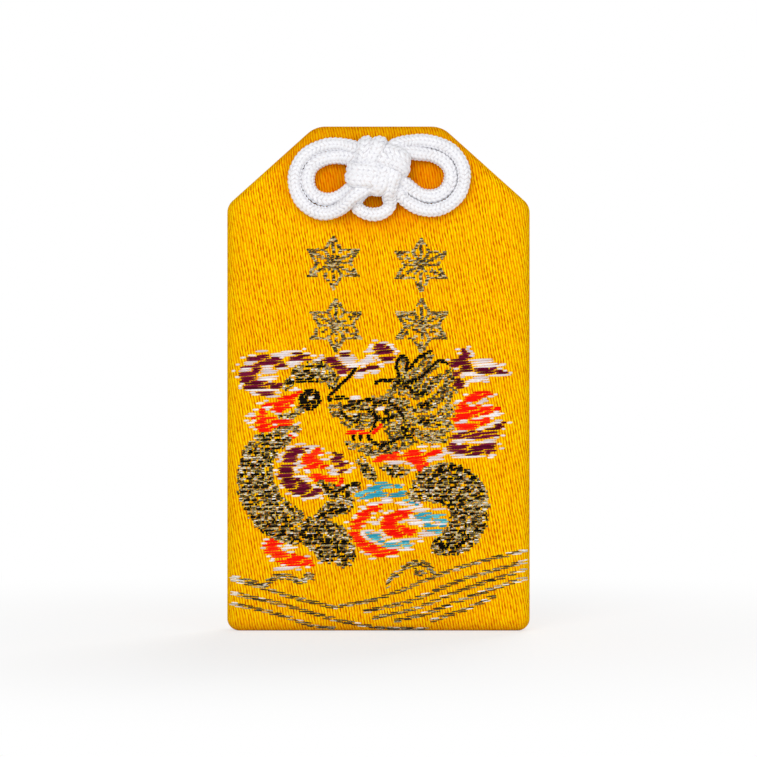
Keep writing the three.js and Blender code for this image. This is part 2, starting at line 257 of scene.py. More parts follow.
def mesh_of(name, points, faces, flat_places=None):
    """A smooth mesh from points in millimetres, with a UV for each point where one is given."""
    mesh = bpy.data.meshes.new(name)
    mesh.from_pydata([tuple(point) for point in np.asarray(points) * MM], [], faces)
    mesh.shade_smooth()
    if flat_places is not None:
        corner_points = np.empty(len(mesh.loops), dtype=np.int64)
        mesh.loops.foreach_get("vertex_index", corner_points)
        layer = mesh.uv_layers.new(name="lay")
        layer.data.foreach_set("uv", np.asarray(flat_places, dtype=np.float32)[corner_points].ravel())
    mesh.update()
    return mesh


def around(count, first=0):
    """The pairs of neighbours in a closed ring of points."""
    return [(first + i, first + (i + 1) % count) for i in range(count)]


def plain_mesh(piece):
    """The piece's evaluated shape as a mesh of its own."""
    graph = bpy.context.evaluated_depsgraph_get()
    return bpy.data.meshes.new_from_object(piece.evaluated_get(graph), depsgraph=graph)


# Smooth curves through chosen points

SAMPLES_PER_POINT = 12


class SmoothCurve:
    """A centripetal curve through points, walked at an even pace."""

    def __init__(self, points):
        self.points = np.asarray(points, dtype=float)
        self.ends = np.vstack([2 * self.points[0] - self.points[1], self.points,
                               2 * self.points[-1] - self.points[-2]])
        self.shares = np.linspace(0.0, 1.0, SAMPLES_PER_POINT * len(self.points) + 1)
        steps = np.linalg.norm(np.diff(self.at(self.shares), axis=0), axis=1)
        self.walked = np.concatenate([[0.0], np.cumsum(steps)])
        self.length = self.walked[-1]

    def at(self, shares):
        place = np.asarray(shares) * (len(self.points) - 1)
        span = np.minimum(place.astype(int), len(self.points) - 2)
        t = (place - span)[:, None]
        p0, p1, p2, p3 = (self.ends[span + k] for k in range(4))
        d0, d1, d2 = (np.sqrt(np.linalg.norm(b - a, axis=1))[:, None]
                      for a, b in ((p0, p1), (p1, p2), (p2, p3)))
        leave = ((p1 - p0) / d0 - (p2 - p0) / (d0 + d1) + (p2 - p1) / d1) * d1
        arrive = ((p2 - p1) / d1 - (p3 - p1) / (d1 + d2) + (p3 - p2) / d2) * d1
        cubic = 2 * p1 - 2 * p2 + leave + arrive
        square = -3 * p1 + 3 * p2 - 2 * leave - arrive
        return p1 + leave * t + square * t ** 2 + cubic * t ** 3

    def even(self, step):
        count = round(self.length / step)
        return self.at(np.interp(np.linspace(0.0, self.length, count + 1), self.walked, self.shares))


# Camera, light and floor, in metres: a lamp has its place, its size and its power

CAMERA_DISTANCE = 0.4209
CAMERA_HEIGHT = 0.0375
FOCAL_LENGTH = 135.0
SENSOR = 36.0
SKY_LIGHT = 0.42
LIT_PLACE = Vector((0, 0, 0.04))
LAMPS = (("key", (-0.3, -0.95, 0.42), 0.5, 4.8), ("fill", (0.55, -0.85, 0.2), 0.6, 2.2),
         ("rear", (0.3, 0.9, 0.5), 0.6, 6.6))
WHITE = (1, 1, 1, 1)
FLOOR_WHITE = (0.98, 0.98, 0.98, 1)
SHADOW_INNER = 0.03
SHADOW_OUTER = 0.13
FLOOR_HALF = 9.0
FLOOR_HEIGHT = -0.00005


def set_camera():
    lens = bpy.data.cameras.new("camera")
    lens.lens = FOCAL_LENGTH
    lens.sensor_width = SENSOR
    lens.clip_start = 0.02
    camera = bpy.data.objects.new("camera", lens)
    camera.location = (0.0, -FACE * MM - CAMERA_DISTANCE, CAMERA_HEIGHT)
    camera.rotation_euler = (math.pi / 2, 0.0, 0.0)
    bpy.context.scene.collection.objects.link(camera)
    bpy.context.scene.camera = camera


def seen_straight(tree):
    """One for the camera's own rays and those that mirror or pass through, otherwise zero."""
    path = tree.add("ShaderNodeLightPath")
    seen = path.output("Is Camera Ray") + path.output("Is Glossy Ray") + path.output("Is Transmission Ray")
    return seen.maths("MINIMUM", 1.0)


def set_light():
    scene = bpy.context.scene
    scene.view_settings.view_transform = "Standard"
    world = bpy.data.worlds.new("studio")
    tree = bare_tree(world)
    sky = tree.add("ShaderNodeBackground", None, {"Color": WHITE, "Strength": SKY_LIGHT})
    white = tree.add("ShaderNodeBackground", None, {"Color": WHITE, "Strength": 1.0})
    both = tree.add("ShaderNodeMixShader", None, {0: seen_straight(tree), 1: sky, 2: white})
    tree.add("ShaderNodeOutputWorld", None, {"Surface": both})
    scene.world = world
    for name, place, size, power in LAMPS:
        lamp = bpy.data.lights.new(name, "AREA")
        lamp.size = size
        lamp.energy = power
        stand = bpy.data.objects.new(name, lamp)
        stand.location = place
        stand.rotation_euler = (LIT_PLACE - Vector(place)).to_track_quat("-Z", "Y").to_euler()
        scene.collection.objects.link(stand)


def lay_floor():
    """A floor that is white in the distance and keeps the shadow near the pouch."""
    material = bpy.data.materials.new("pale_floor")
    tree = bare_tree(material)
    lit = tree.add("ShaderNodeBsdfDiffuse", None, {"Color": FLOOR_WHITE})
    white = tree.add("ShaderNodeEmission", None, {"Color": WHITE, "Strength": 1.0})
    distance = tree.add("ShaderNodeVectorMath", {"operation": "LENGTH"}, {0: tree.place()}, "Value")
    away = distance.above(SHADOW_INNER, SHADOW_OUTER)
    share = seen_straight(tree) * (away * 0.35 + 0.65)
    both = tree.add("ShaderNodeMixShader", None, {0: share, 1: lit, 2: white})
    tree.add("ShaderNodeOutputMaterial", None, {"Surface": both})
    square = np.array([(-1, -1), (1, -1), (1, 1), (-1, 1)]) * FLOOR_HALF
    corners = [(x / MM, y / MM, FLOOR_HEIGHT / MM) for x, y in square]
    floor = add_piece("floor", mesh_of("floor", corners, [(0, 1, 2, 3)]), material)


# The cord: across, up from the knot's centre, and out from the front face

FIRST_STRAND = [
    (-2.1, 2.9, 0.9), (-2.05, 3.35, 2.1), (-2.0, 3.1, 3.2), (-2.0, 2.25, 3.65), (-2.15, 0.9, 3.65),
    (-2.4, 0, 3.1), (-2.55, -1.1, 2.35), (-2.6, -2.55, 2.35), (-3.0, -3.7, 1.7), (-4.3, -4.4, 1.15),
    (-6.2, -5.3, 1.05), (-8.1, -5.5, 1.05), (-10.0, -4.55, 1.05), (-10.75, -2.3, 1.05),
    (-10.0, -0.1, 1.05),
    (-8.2, 0.95, 1.05), (-6.0, 1.25, 1.05), (-4.4, 1.0, 1.45), (-3.3, 0.7, 2.1), (-2.2, 0.35, 2.35),
    (-1.0, 0.3, 2.35), (0, 0.5, 3), (1.1, 0.4, 3.65), (2.3, -0.1, 3.65), (3.3, -0.7, 3.15),
    (3.65, -1.0, 2.35), (3.3, -1.15, 1.45), (2.4, -1.3, 1.05), (0.8, -1.5, 1.05), (-0.8, -1.9, 1.05),
    (-2.5, -2.4, 1.05), (-3.5, -2.5, 1.45), (-3.85, -2.5, 2.35), (-3.5, -2.45, 3.25), (-2.55, -2.5, 3.65),
    (-1.1, -2.55, 3.65), (0, -2.55, 3), (1.1, -2.85, 2.35), (2.2, -3.4, 2.25), (3.1, -4.6, 1.55),
    (4.7, -6.05, 1.1), (7.35, -7.05, 1.05), (9.85, -6.5, 1.05), (11.85, -4.95, 1.05), (12.8, -2.65, 1.05),
    (12.6, -0.25, 1.05), (11.4, 1.7, 1.05), (9.4, 2.95, 1.05), (6.8, 3.4, 1.05), (4.5, 3.35, 1.15),
    (3.1, 3.05, 1.7), (2.0, 2.6, 2.25), (1.35, 1.9, 2.35), (1.1, 1.1, 2.35), (1.1, 0.2, 2.45),
    (0.9, -0.4, 3), (0.55, -1.2, 3.65), (0.05, -2.3, 3.65), (-0.45, -2.9, 3.25), (-0.8, -3.1, 2.35),
    (-1.8, -3.3, 1.4),
]
BOTTOM_LOOP = [
    (-3.2, -4.0, 1.05), (-4.1, -4.9, 1.05), (-3.9, -6.1, 1.05), (-2.6, -7.2, 1.05), (-0.8, -7.7, 1.05),
    (0.85, -7.4, 1.05), (2.0, -6.45, 1.05), (2.15, -5.4, 1.05),
]
SECOND_STRAND = [
    (0.15, 2.75, 0.9), (0.35, 3.1, 2.1), (0.45, 2.9, 3.2), (0.4, 2.2, 3.65), (-0.1, 0.9, 3.65),
    (-0.8, 0, 3.1), (-1.1, -1.1, 2.35), (-1.1, -2.3, 2.35), (-1.7, -3.1, 2.4), (-2.8, -3.85, 2.55),
    (-3.8, -4.8, 2.75), (-5.0, -6.2, 2.2), (-6.9, -7.35, 1.15), (-8.55, -7.5, 1.05), (-10.7, -6.5, 1.05),
    (-12.2, -4.45, 1.05), (-12.62, -2.1, 1.05), (-11.9, 0.4, 1.05), (-10.05, 2.15, 1.05),
    (-8.0, 2.85, 1.05),
    (-6.0, 3.05, 1.05), (-4.5, 2.7, 1.45), (-3.4, 2.25, 2.1), (-2.2, 1.75, 2.35), (-1.0, 1.7, 2.35),
    (0.1, 1.85, 3), (1.2, 1.9, 3.65), (2.4, 1.4, 3.65), (3.5, 0.75, 3.15), (3.8, 0.45, 2.35),
    (3.4, 0.35, 1.45), (2.5, 0.3, 1.05), (0.8, 0.2, 1.05), (-0.8, -0.3, 1.05), (-2.5, -0.85, 1.05),
    (-3.5, -0.9, 1.45), (-3.85, -0.85, 2.35), (-3.5, -0.8, 3.25), (-2.55, -0.9, 3.65), (-1.1, -1.05, 3.65),
    (0, -1.1, 3), (1.1, -1.3, 2.35), (2.4, -1.8, 2.3), (3.4, -2.5, 1.7), (4.2, -3.35, 1.2),
    (5.4, -4.35, 1.05), (7.5, -5.05, 1.05), (9.55, -4.5, 1.05), (10.8, -3.0, 1.05), (11.0, -1.1, 1.05),
    (10.2, 0.4, 1.05), (8.5, 1.4, 1.05), (6.7, 1.75, 1.05), (5.0, 1.8, 1.25), (3.9, 1.8, 1.75),
    (3.0, 1.5, 2.25), (2.6, 0.8, 2.35), (2.5, 0, 2.55), (2.35, -0.5, 3.1), (2.25, -1.2, 3.65),
    (2.0, -2.5, 3.65), (1.75, -3.5, 3.25), (1.7, -3.95, 2.35), (1.9, -4.5, 1.45),
]

# The hanging loop: each strand's way out from its place in the slot, and down
LOOP_HALF = [(0.1, 14), (0.75, 19), (1.9, 26), (3.2, 34.5), (4.1, 42), (4.3, 47), (3.1, 51.2)]
LOOP_FOOT = (0, 53)

# Out of the slot and down on to the rear face: back, and down from the slot
CORD_START = (2.2, 0.0)
BEND_FROM = 3.3
BEND_BACK = 3.45
BEND_DOWN = 2.8
BEND_TURNS = np.radians((0.0, 25.0, 45.0, 62.0, 85.0))
BELOW_BEND = (6.3, 6.4)


def grip(points):
    """One in the crown, where the strands squeeze each other, and zero in the ears and the slot."""
    from_centre = np.hypot(points[:, 0], points[:, 2] - KNOT_HEIGHT)
    outside = smoothstep(GRIP_INNER, GRIP_OUTER, from_centre)
    within = smoothstep(-FACE - CORD_REST, -FACE, points[:, 1])
    return 1.0 - np.maximum(outside, within)


def through_pouch(side):
    """One strand's way through the slot, from its end at the rear to the front face."""
    across = HOLE_ACROSS + side * STRAND_PITCH / 2
    return [(across, depth, HOLE_HEIGHT) for depth in (STUB_END, 0.0, -FACE)]


def knot_route():
    """The knot's chosen points, from one end in the slot to the other."""
    strands = [*FIRST_STRAND, *BOTTOM_LOOP, *reversed(SECOND_STRAND)]
    placed = [(across, -FACE - out, KNOT_HEIGHT + up) for across, up, out in strands]
    return [*through_pouch(-1), *placed, *reversed(through_pouch(1))]


def settle(route):
    """Pushes the strands apart until they clear each other, off the cloth and smooth."""
    chosen = SmoothCurve(route).even(SETTLE_STEP)
    held = (chosen[:, 1] > -FACE - HELD_REACH)[:, None]
    reach = math.ceil(OWN_REACH / SETTLE_STEP)
    order = np.arange(len(chosen))
    near = np.abs(order[:, None] - order[None, :]) < reach
    loose, tight = CORD_CORE + EAR_GAP, GRIPPED_CORE + CROWN_GAP
    points = chosen.copy()
    for _ in range(SETTLE_ROUNDS):
        radii = (loose + (tight - loose) * grip(points)) / 2
        apart = points[:, None, :] - points[None, :, :]
        distance = np.linalg.norm(apart, axis=2)
        short = radii[:, None] + radii[None, :] - distance
        short[near | (short < 0)] = 0.0
        pushes = (apart * (PUSH_SHARE * short / np.maximum(distance, 1e-9))[:, :, None]).sum(axis=1)
        between = (np.roll(points, 1, axis=0) + np.roll(points, -1, axis=0)) / 2
        moved = points + pushes
        moved += (between - moved) * SMOOTH_SHARE
        moved += (chosen - moved) * RETURN_SHARE
        moved[:, 1] = np.minimum(moved[:, 1], -FACE - CORD_REST)
        points = np.where(held, points, moved)
    return SmoothCurve(points)


def turning_frames(points):
    """Two directions square to the path at each point, carried along without twisting."""
    ahead = np.gradient(points, axis=0)
    ahead /= np.linalg.norm(ahead, axis=1)[:, None]
    side = np.cross(ahead[0], (0.0, 0.0, 1.0) if abs(ahead[0][2]) < 0.9 else (1.0, 0.0, 0.0))
    sides = []
    for direction in ahead:
        side = side - direction * np.dot(side, direction)
        side = side / np.linalg.norm(side)
        sides.append(side)
    sides = np.array(sides)
    return sides, np.cross(ahead, sides)


CROWN_HEART = np.array([0.0, -FACE - 2.0, KNOT_HEIGHT - 0.6])
CROWN_REACH = np.array([4.2, 2.4, 4.2])
BRAID_COLUMNS = 8
BRAID_SIDES = 32
BRAID_STEP = 0.135
BRAID_PERIOD = 0.66
BRAID_LEAN = 0.75
BRAID_GROOVE = 0.21
SWAY = 0.025
SWAY_TURN = 1.7
KNOT_TRIM = 1.4
# How the ears lie: wider across and up, and thinner out from the face
EAR_LIE = np.array([0.035, -0.02, 0.035])
CROWN_WIDEN = 0.17
CROWN_PRESS = 0.26


def braid_relief(along, turn):
    """The height of the braid's stitches: columns of slanted yarns that meet in chevrons."""
    column = np.floor(turn * BRAID_COLUMNS)
    across = turn * BRAID_COLUMNS - column
    lean = np.where(column % 2 == 0, 1.0, -1.0)
    phase = along / BRAID_PERIOD + lean * (across - 0.5) * BRAID_LEAN
    stitch = np.abs(np.sin(np.pi * phase)) ** 0.8
    return stitch * (0.35 + 0.65 * np.sin(np.pi * across) ** 0.6)


def braided_cord(name, curve, material, squeezed=False, trim=0.0):
    """A tube of braid along a curve, flattened where the knot squeezes it."""
    points = curve.even(BRAID_STEP)
    along = np.arange(len(points)) * BRAID_STEP
    keep = (along >= trim) & (along <= along[-1] - trim)
    points, along = points[keep], along[keep]
    sides, ups = turning_frames(points)
    turn = np.arange(BRAID_SIDES) / BRAID_SIDES
    relief = braid_relief(along[:, None], turn[None, :])
    sway = SWAY * np.sin(along * SWAY_TURN)[:, None]
    radius = CORD_RADIUS - BRAID_GROOVE * (1.0 - relief) + sway
    angle = 2 * np.pi * turn
    rim = (sides[:, None, :] * np.cos(angle)[None, :, None]
           + ups[:, None, :] * np.sin(angle)[None, :, None]) * radius[:, :, None]
    if squeezed:
        outward = (points - CROWN_HEART) / CROWN_REACH ** 2
        outward /= np.linalg.norm(outward, axis=1)[:, None]
        share = (rim * outward[:, None, :]).sum(axis=2)[:, :, None]
        held = grip(points)[:, None, None]
        flat = share * outward[:, None, :]
        lying = (1.0 - held) * EAR_LIE
        rim = rim * (1.0 + lying) + held * (CROWN_WIDEN * (rim - flat) - CROWN_PRESS * flat)
    rings = points[:, None, :] + rim
    vertices = np.vstack([rings.reshape(-1, 3), points[:1], points[-1:]])
    end = relief.size
    last = end - BRAID_SIDES
    faces = [(i, j, j + BRAID_SIDES, i + BRAID_SIDES)
             for first in range(0, last, BRAID_SIDES) for i, j in around(BRAID_SIDES, first)]
    faces += [(end, j, i) for i, j in around(BRAID_SIDES)]
    faces += [(end + 1, i, j) for i, j in around(BRAID_SIDES, last)]
    mesh = mesh_of(name, vertices, faces)
    height = np.concatenate([relief.ravel(), [1.0, 1.0]]).astype(np.float32)
    mesh.attributes.new("relief", "FLOAT", "POINT").data.foreach_set("value", height)
    return add_piece(name, mesh, material), points


def hanging_route():
    """Out of the slot, down one strand, round the loop's foot and back up the other."""
    oval = zip(BEND_FROM + BEND_BACK * np.sin(BEND_TURNS), BEND_DOWN * (1.0 - np.cos(BEND_TURNS)))
    bend = [(0.0, back, down) for back, down in (CORD_START, *oval, BELOW_BEND)]
    fall = [(out, HINGE_DEPTH, down) for out, down in LOOP_HALF]
    half = [(STRAND_PITCH / 2 + out, back, HOLE_HEIGHT - down) for out, back, down in (*bend, *fall)]
    mirrored = [(-across, back, up) for across, back, up in half]
    foot = (LOOP_FOOT[0], HINGE_DEPTH, HOLE_HEIGHT - LOOP_FOOT[1])
    route = [*mirrored, foot, *reversed(half)]
    return [(HOLE_ACROSS + across, back, up) for across, back, up in route]


def white_braid():
    """Glossy white yarn, with painted grey shade in the braid's grooves."""
    material, tree, shader = finish_of("white_braid", roughness=0.72, sheen_weight=0.25,
                                       sheen_roughness=0.5, specular_ior_level=0.25)
    where = tree.place()
    soft = tree.noise(where, 900.0)
    fibre = tree.noise(where, 7000.0, 3.0)
    high = tree.attribute("relief").above(0.05, 0.5)
    # Painted shade: the grooves between the stitches are greyer than the yarn's crowns
    groove = tree.mix(soft.above(0.35, 0.65), tone(202, 201, 209), tone(219, 212, 212))
    yarn = tree.mix(fibre.above(0.3, 0.7), tone(233, 233, 237), tone(247, 247, 250))
    feed(tree, shader, base_color=tree.mix(high, groove, yarn),
         normal=tree.bump(fibre * 0.5 + soft, 0.35, 0.05))
    return material


# The brocade pouch

CORNER_STEPS = 10
EDGE_SPLITS = (56, 76, 22, 24, 22, 76)
ROUND_STEPS = 8
SIDE_STEPS = 3
GROOVE_STEPS = 7
GROOVE_SHARE = 0.8
SLOT_POINTS = 36
# Turns the slot's points, so that none falls between its two round ends
SLOT_TURN = 0.01
SLOT_SINKS = (0.25, 0.75)
FULLNESS = 0.24
FULL_REACH = 9.0
FULL_BELOW = 50.0
FLAT_ABOVE = 61.0
RIPPLE = 0.035
DENT = 0.3
DENT_REACH = 2.0
# The triangles that fill a face, and the room that they leave along its border, slot and bottom corners
FILL_SPACING = 1.15
FILL_HALF = 24.0
FILL_TOP = 76.0
FILL_JITTER = 0.12
BORDER_ROOM = 0.6
SLOT_ROOM = 0.35
CORNER_ROOM = (18.5, 4.0)


def rounded_corner(corner, arriving, leaving, radius, inset):
    """The points round one corner of an outline that is drawn in by an inset."""
    in_from = np.array([-arriving[1], arriving[0]])
    in_to = np.array([-leaving[1], leaving[0]])
    turn = math.acos(np.clip(arriving @ leaving, -1, 1))
    bend = max(radius - inset, LEAST_RADIUS)
    shift = (in_from + in_to) * inset / (1 + in_from @ in_to)
    centre = corner + shift - arriving * bend * math.tan(turn / 2) + in_from * bend
    angles = turn * np.linspace(0.0, 1.0, CORNER_STEPS + 1)
    spoke = -in_from * bend
    return np.stack([centre[0] + spoke[0] * np.cos(angles) - spoke[1] * np.sin(angles),
                     centre[1] + spoke[0] * np.sin(angles) + spoke[1] * np.cos(angles)], axis=1)


def pouch_outline(inset):
    """The pouch's edge line drawn in by an inset, with the same count of points at any inset."""
    side = POUCH_WIDTH / 2
    top = side - SHOULDER_RUN
    shoulder = POUCH_HEIGHT - SHOULDER_DROP
    corners = [(-side, 0, BOTTOM_RADIUS), (side, 0, BOTTOM_RADIUS), (side, shoulder, SHOULDER_RADIUS),
               (top, POUCH_HEIGHT, TOP_CORNER_RADIUS), (-top, POUCH_HEIGHT, TOP_CORNER_RADIUS),
               (-side, shoulder, SHOULDER_RADIUS)]
    arcs = []
    for index, (x, z, radius) in enumerate(corners):
        corner = np.array([x, z], dtype=float)
        arriving = corner - np.array(corners[index - 1][:2])
        leaving = np.array(corners[(index + 1) % len(corners)][:2]) - corner
        arcs.append(rounded_corner(corner, arriving / np.linalg.norm(arriving),
                                   leaving / np.linalg.norm(leaving), radius, inset))
    line = []
    for index, arc in enumerate(arcs):
        following = arcs[(index + 1) % len(arcs)][0]
        shares = np.linspace(0.0, 1.0, EDGE_SPLITS[index] + 1)[1:-1, None]
        line += [arc, arc[-1] + (following - arc[-1]) * shares]
    return np.vstack(line)


def edge_distance(x, z):
    """How far inside the pouch's straight edges a place is."""
    run, drop = SHOULDER_RUN, SHOULDER_DROP
    slope = math.hypot(run, drop)
    over_shoulder = ((POUCH_WIDTH / 2 - np.abs(x)) * drop + (POUCH_HEIGHT - z) * run - run * drop) / slope
    nearest = np.minimum(POUCH_WIDTH / 2 - np.abs(x), np.minimum(z, POUCH_HEIGHT - z))
    return np.minimum(nearest, over_shoulder)


def slot_distance(x, z):
    """How far a place is from the line between the middles of the slot's two round ends."""
    return np.hypot(np.maximum(np.abs(x - HOLE_ACROSS) - STRAND_PITCH / 2, 0.0), z - HOLE_HEIGHT)


def swell(x, z):
    """How far the face stands proud: a slight fullness, dented where the cord goes in."""
    room = np.clip((edge_distance(x, z) - EDGE_RADIUS) / FULL_REACH, 0.0, 1.0)
    full = FULLNESS * (1.0 - (1.0 - room) ** 2) * (1.0 - smoothstep(FULL_BELOW, FLAT_ABOVE, z))
    ripple = RIPPLE * np.sin(x * 0.45 + 1.0) * np.sin(z * 0.21) * room
    return full + ripple - DENT * np.exp(-((slot_distance(x, z) / DENT_REACH) ** 2))


def slot_line():
    """The slot's outline: two half circles and the straight stretches between them."""
    angle = np.linspace(0.0, 2 * np.pi, SLOT_POINTS, endpoint=False) + SLOT_TURN
    x = HOLE_ACROSS + HOLE_RADIUS * np.cos(angle) + np.sign(np.cos(angle)) * STRAND_PITCH / 2
    return np.stack([x, HOLE_HEIGHT + HOLE_RADIUS * np.sin(angle)], axis=1)


def face_triangles(border, slot):
    """The flat face between its border and the slot, filled with small triangles."""
    chooser = np.random.default_rng(11)
    columns, rows = np.meshgrid(np.arange(-FILL_HALF, FILL_HALF + 0.1, FILL_SPACING),
                                np.arange(0, FILL_TOP, FILL_SPACING * 0.87))
    columns = columns + (np.arange(len(rows)) % 2)[:, None] * FILL_SPACING / 2
    inner = np.stack([columns.ravel(), rows.ravel()], axis=1)
    inner += chooser.uniform(-FILL_JITTER, FILL_JITTER, inner.shape)
    x, z = inner.T
    inside = edge_distance(x, z) > EDGE_RADIUS + BORDER_ROOM
    clear = slot_distance(x, z) > HOLE_RADIUS + SLOT_ROOM
    in_corner = (np.abs(x) > CORNER_ROOM[0]) & (z < CORNER_ROOM[1])
    every = np.vstack([border, slot, inner[inside & clear & ~in_corner]])
    lines = around(len(border)) + around(len(slot), len(border))
    found = delaunay_2d_cdt([Vector(p) for p in every], lines, [], 1, 1e-7)
    places = np.array([tuple(p) for p in found[0]])
    triangles = [tuple(triangle) for triangle in found[2]
                 if slot_distance(*places[list(triangle)].mean(axis=0)) > HOLE_RADIUS * 0.999]
    return places, triangles


def edge_profile():
    """From the face over the edge to the hem: inset, depth and arc length, then both in the groove."""
    steps = [(EDGE_RADIUS * (1 - math.sin(a)), -FACE + EDGE_RADIUS * (1 - math.cos(a)), EDGE_RADIUS * a)
             for a in np.linspace(0.0, math.pi / 2, ROUND_STEPS)]
    plain = [(inset, depth, arc, inset, depth) for inset, depth, arc in steps]
    start_depth, start_arc = steps[-1][1], steps[-1][2]
    for depth in np.linspace(start_depth, -GROOVE_HALF, SIDE_STEPS)[1:]:
        plain.append((0.0, depth, start_arc + depth - start_depth, 0.0, depth))
    arc = plain[-1][2]
    for share in np.linspace(0.0, 1.0, GROOVE_STEPS)[1:]:
        angle = share * math.pi / 2
        groove_inset = GROOVE_DEPTH * (1 - math.cos(angle))
        groove_depth = -GROOVE_HALF + (GROOVE_HALF - SLIT) * math.sin(angle)
        run = GROOVE_HALF * GROOVE_SHARE * share
        plain.append((0.0, run - GROOVE_HALF, arc + run, groove_inset, groove_depth))
    arc = plain[-1][2]
    rest = GROOVE_HALF * (1 - GROOVE_SHARE)
    for share in (0.5, 1.0):
        plain.append((0.0, rest * (share - 1), arc + rest * share,
                      GROOVE_DEPTH + (HEM - GROOVE_DEPTH) * share, -SLIT))
    return plain


def half_pouch(side):
    """One face of the pouch with its edge, the front for -1 and the rear for 1."""
    border = pouch_outline(EDGE_RADIUS)
    edge = pouch_outline(0.0)
    outward = edge - pouch_outline(0.5)
    outward /= np.linalg.norm(outward, axis=1)[:, None]
    slot = slot_line()
    places, triangles = face_triangles(border, slot)
    depth = -FACE - swell(places[:, 0], places[:, 1])
    depth[:len(border)] = -FACE
    points = [np.stack([places[:, 0], depth, places[:, 1]], axis=1)]
    flats = [places]
    faces = list(triangles)
    profile = edge_profile()
    grooved = smoothstep(FOLD_HEIGHT - 2.0, FOLD_HEIGHT + 0.5, edge[:, 1])
    count = len(border)
    before = np.arange(count)
    total = len(places)
    for inset, flat_depth, arc, groove_inset, groove_depth in profile[1:]:
        line = edge - outward * (groove_inset * grooved)[:, None]
        if inset > 0:
            line = pouch_outline(inset)
        deep = flat_depth + (groove_depth - flat_depth) * grooved
        points.append(np.stack([line[:, 0], deep, line[:, 1]], axis=1))
        flats.append(border + outward * arc)
        here = total + np.arange(count)
        faces += [(before[i], here[i], here[j], before[j]) for i, j in around(count)]
        before = here
        total += count
    rim = np.arange(count, count + len(slot))
    rim_points = points[0][rim]
    for sink in SLOT_SINKS:
        points.append(rim_points + (0.0, sink, 0.0))
        flats.append(slot)
        here = total + np.arange(len(slot))
        faces += [(rim[i], rim[j], here[j], here[i]) for i, j in around(len(slot))]
        rim = here
        total += len(slot)
    points = np.vstack(points)
    flats = np.vstack(flats)
    if side > 0:
        points[:, 1] *= -1
        fold = profile[-1][2] * 2 - 2 * EDGE_RADIUS
        flats = np.stack([flats[:, 0], -fold - flats[:, 1]], axis=1)
        faces = [tuple(reversed(face)) for face in faces]
    return points, faces, flats


def brocade_pouch(material):
    """Both halves joined along the fold, with the cloth's thickness inwards."""
    front_points, front_faces, front_flats = half_pouch(-1)
    rear_points, rear_faces, rear_flats = half_pouch(1)
    shift = len(front_points)
    faces = front_faces + [tuple(index + shift for index in face) for face in rear_faces]
    mesh = mesh_of("pouch_cloth", np.vstack([front_points, rear_points]), faces,
                   np.vstack([front_flats, rear_flats]))
    shape = bmesh.new()
    shape.from_mesh(mesh)
    bmesh.ops.remove_doubles(shape, verts=shape.verts, dist=1e-7)
    shape.to_mesh(mesh)
    shape.free()
    pouch = add_piece("pouch_cloth", mesh, material)
    wall = pouch.modifiers.new("cloth", "SOLIDIFY")
    wall.thickness = CLOTH * MM
    wall.offset = -1.0
    solid = plain_mesh(pouch)
    pouch.modifiers.clear()
    pouch.data = solid
    return pouch


def yellow_satin():
    """Long warp floats that lean a little, with orange gaps and dark flecks between them, painted sheen on
    the floats, and painted shade at the sides, the fold, the mouth and round the knot.
    """
    material, tree, shader = finish_of("yellow_satin", specular_ior_level=0.0)
    lay = tree.add("ShaderNodeUVMap", {"uv_map": "lay"})
    flat = tree.add("ShaderNodeSeparateXYZ", None, {0: lay})
    across, up = flat.output("X"), flat.output("Y")
    drift = tree.noise(lay, 0.35, 2.0)
    leaning = (across + up * WARP_LEAN + drift * 0.35) / WARP_PITCH
    column = leaning.floor()
    lengthwise = up / WARP_FLOAT + column * 0.4 + tree.speckle(column, 3.0) * 0.35
    chance = tree.speckle(column, lengthwise.floor())
    fading = (lengthwise.fraction().hump() * 1.6).maths("MINIMUM", 1.0)
    rounded = leaning.fraction().hump()
    height = rounded * (fading * 0.42 + 0.58)
    gap = leaning + 0.5
    gap_along = up / WARP_FLECK + tree.speckle(gap.floor(), 9.0) * 7.0
    gap_chance = tree.speckle(gap.floor() + 31.0, gap_along.floor())
    fleck = gap.fraction().hump() ** 3.0 * gap_along.fraction().hump() * gap_chance.above(0.2, 0.88)
    # Orange between the floats and yellow on their crowns: the weave's own colours, with painted sheen on
    # the crowns and painted shade between them
    ground = tree.mix(chance, tone(234, 136, 1), tone(242, 150, 1))
    silk_and_sheen = tree.mix(chance, tone(255, 197, 1), tone(255, 218, 2))
    woven = tree.mix(height.above(0.35, 0.85), ground, silk_and_sheen)
    flecked = tree.mix(fleck.above(0.05, 0.75), woven, tone(214, 96, 2))
    # Painted shade: darker and more orange towards the left and right edges, the gathered mouth and the
    # bottom fold
    off_centre = across.maths("ABSOLUTE")
    sides = off_centre.above(18.5, 23.5) * 0.35
    fold = (0.0 - up).above(-3.0, 1.5) * 0.6
    mouth_shade = (up + off_centre * 0.12).above(69.0, 76.0) * 0.5
    shaded_satin = tree.mix(sides, flecked, tone(216, 170, 3))
    shaded_satin = tree.mix(mouth_shade, shaded_satin, tone(214, 126, 2))
    shaded_satin = tree.mix(fold, shaded_satin, tone(196, 120, 6))
    # Painted shadow: a deeper orange in an oval round the knot, where the cord shades the cloth
    below = up - 67.5
    near_knot = 1.0 - across * across / 320.0 - below * below / 115.0
    knot_shadow = near_knot.above(0.0, 0.9) * (1.0 - up.above(70.5, 74.0)) * 0.6
    shaded_satin = tree.mix(knot_shadow, shaded_satin, tone(228, 100, 2))
    strands = tree.noise(tree.vector(leaning * 5.0, up * 0.5), 1.0)
    feed(tree, shader, base_color=shaded_satin, roughness=0.62 - height * 0.2,
         normal=tree.bump(height + strands * 0.18 - fleck * 0.5, 0.6, 0.12))
    return material


# The woven picture: figures are painted on the picks, then each run becomes weft floats

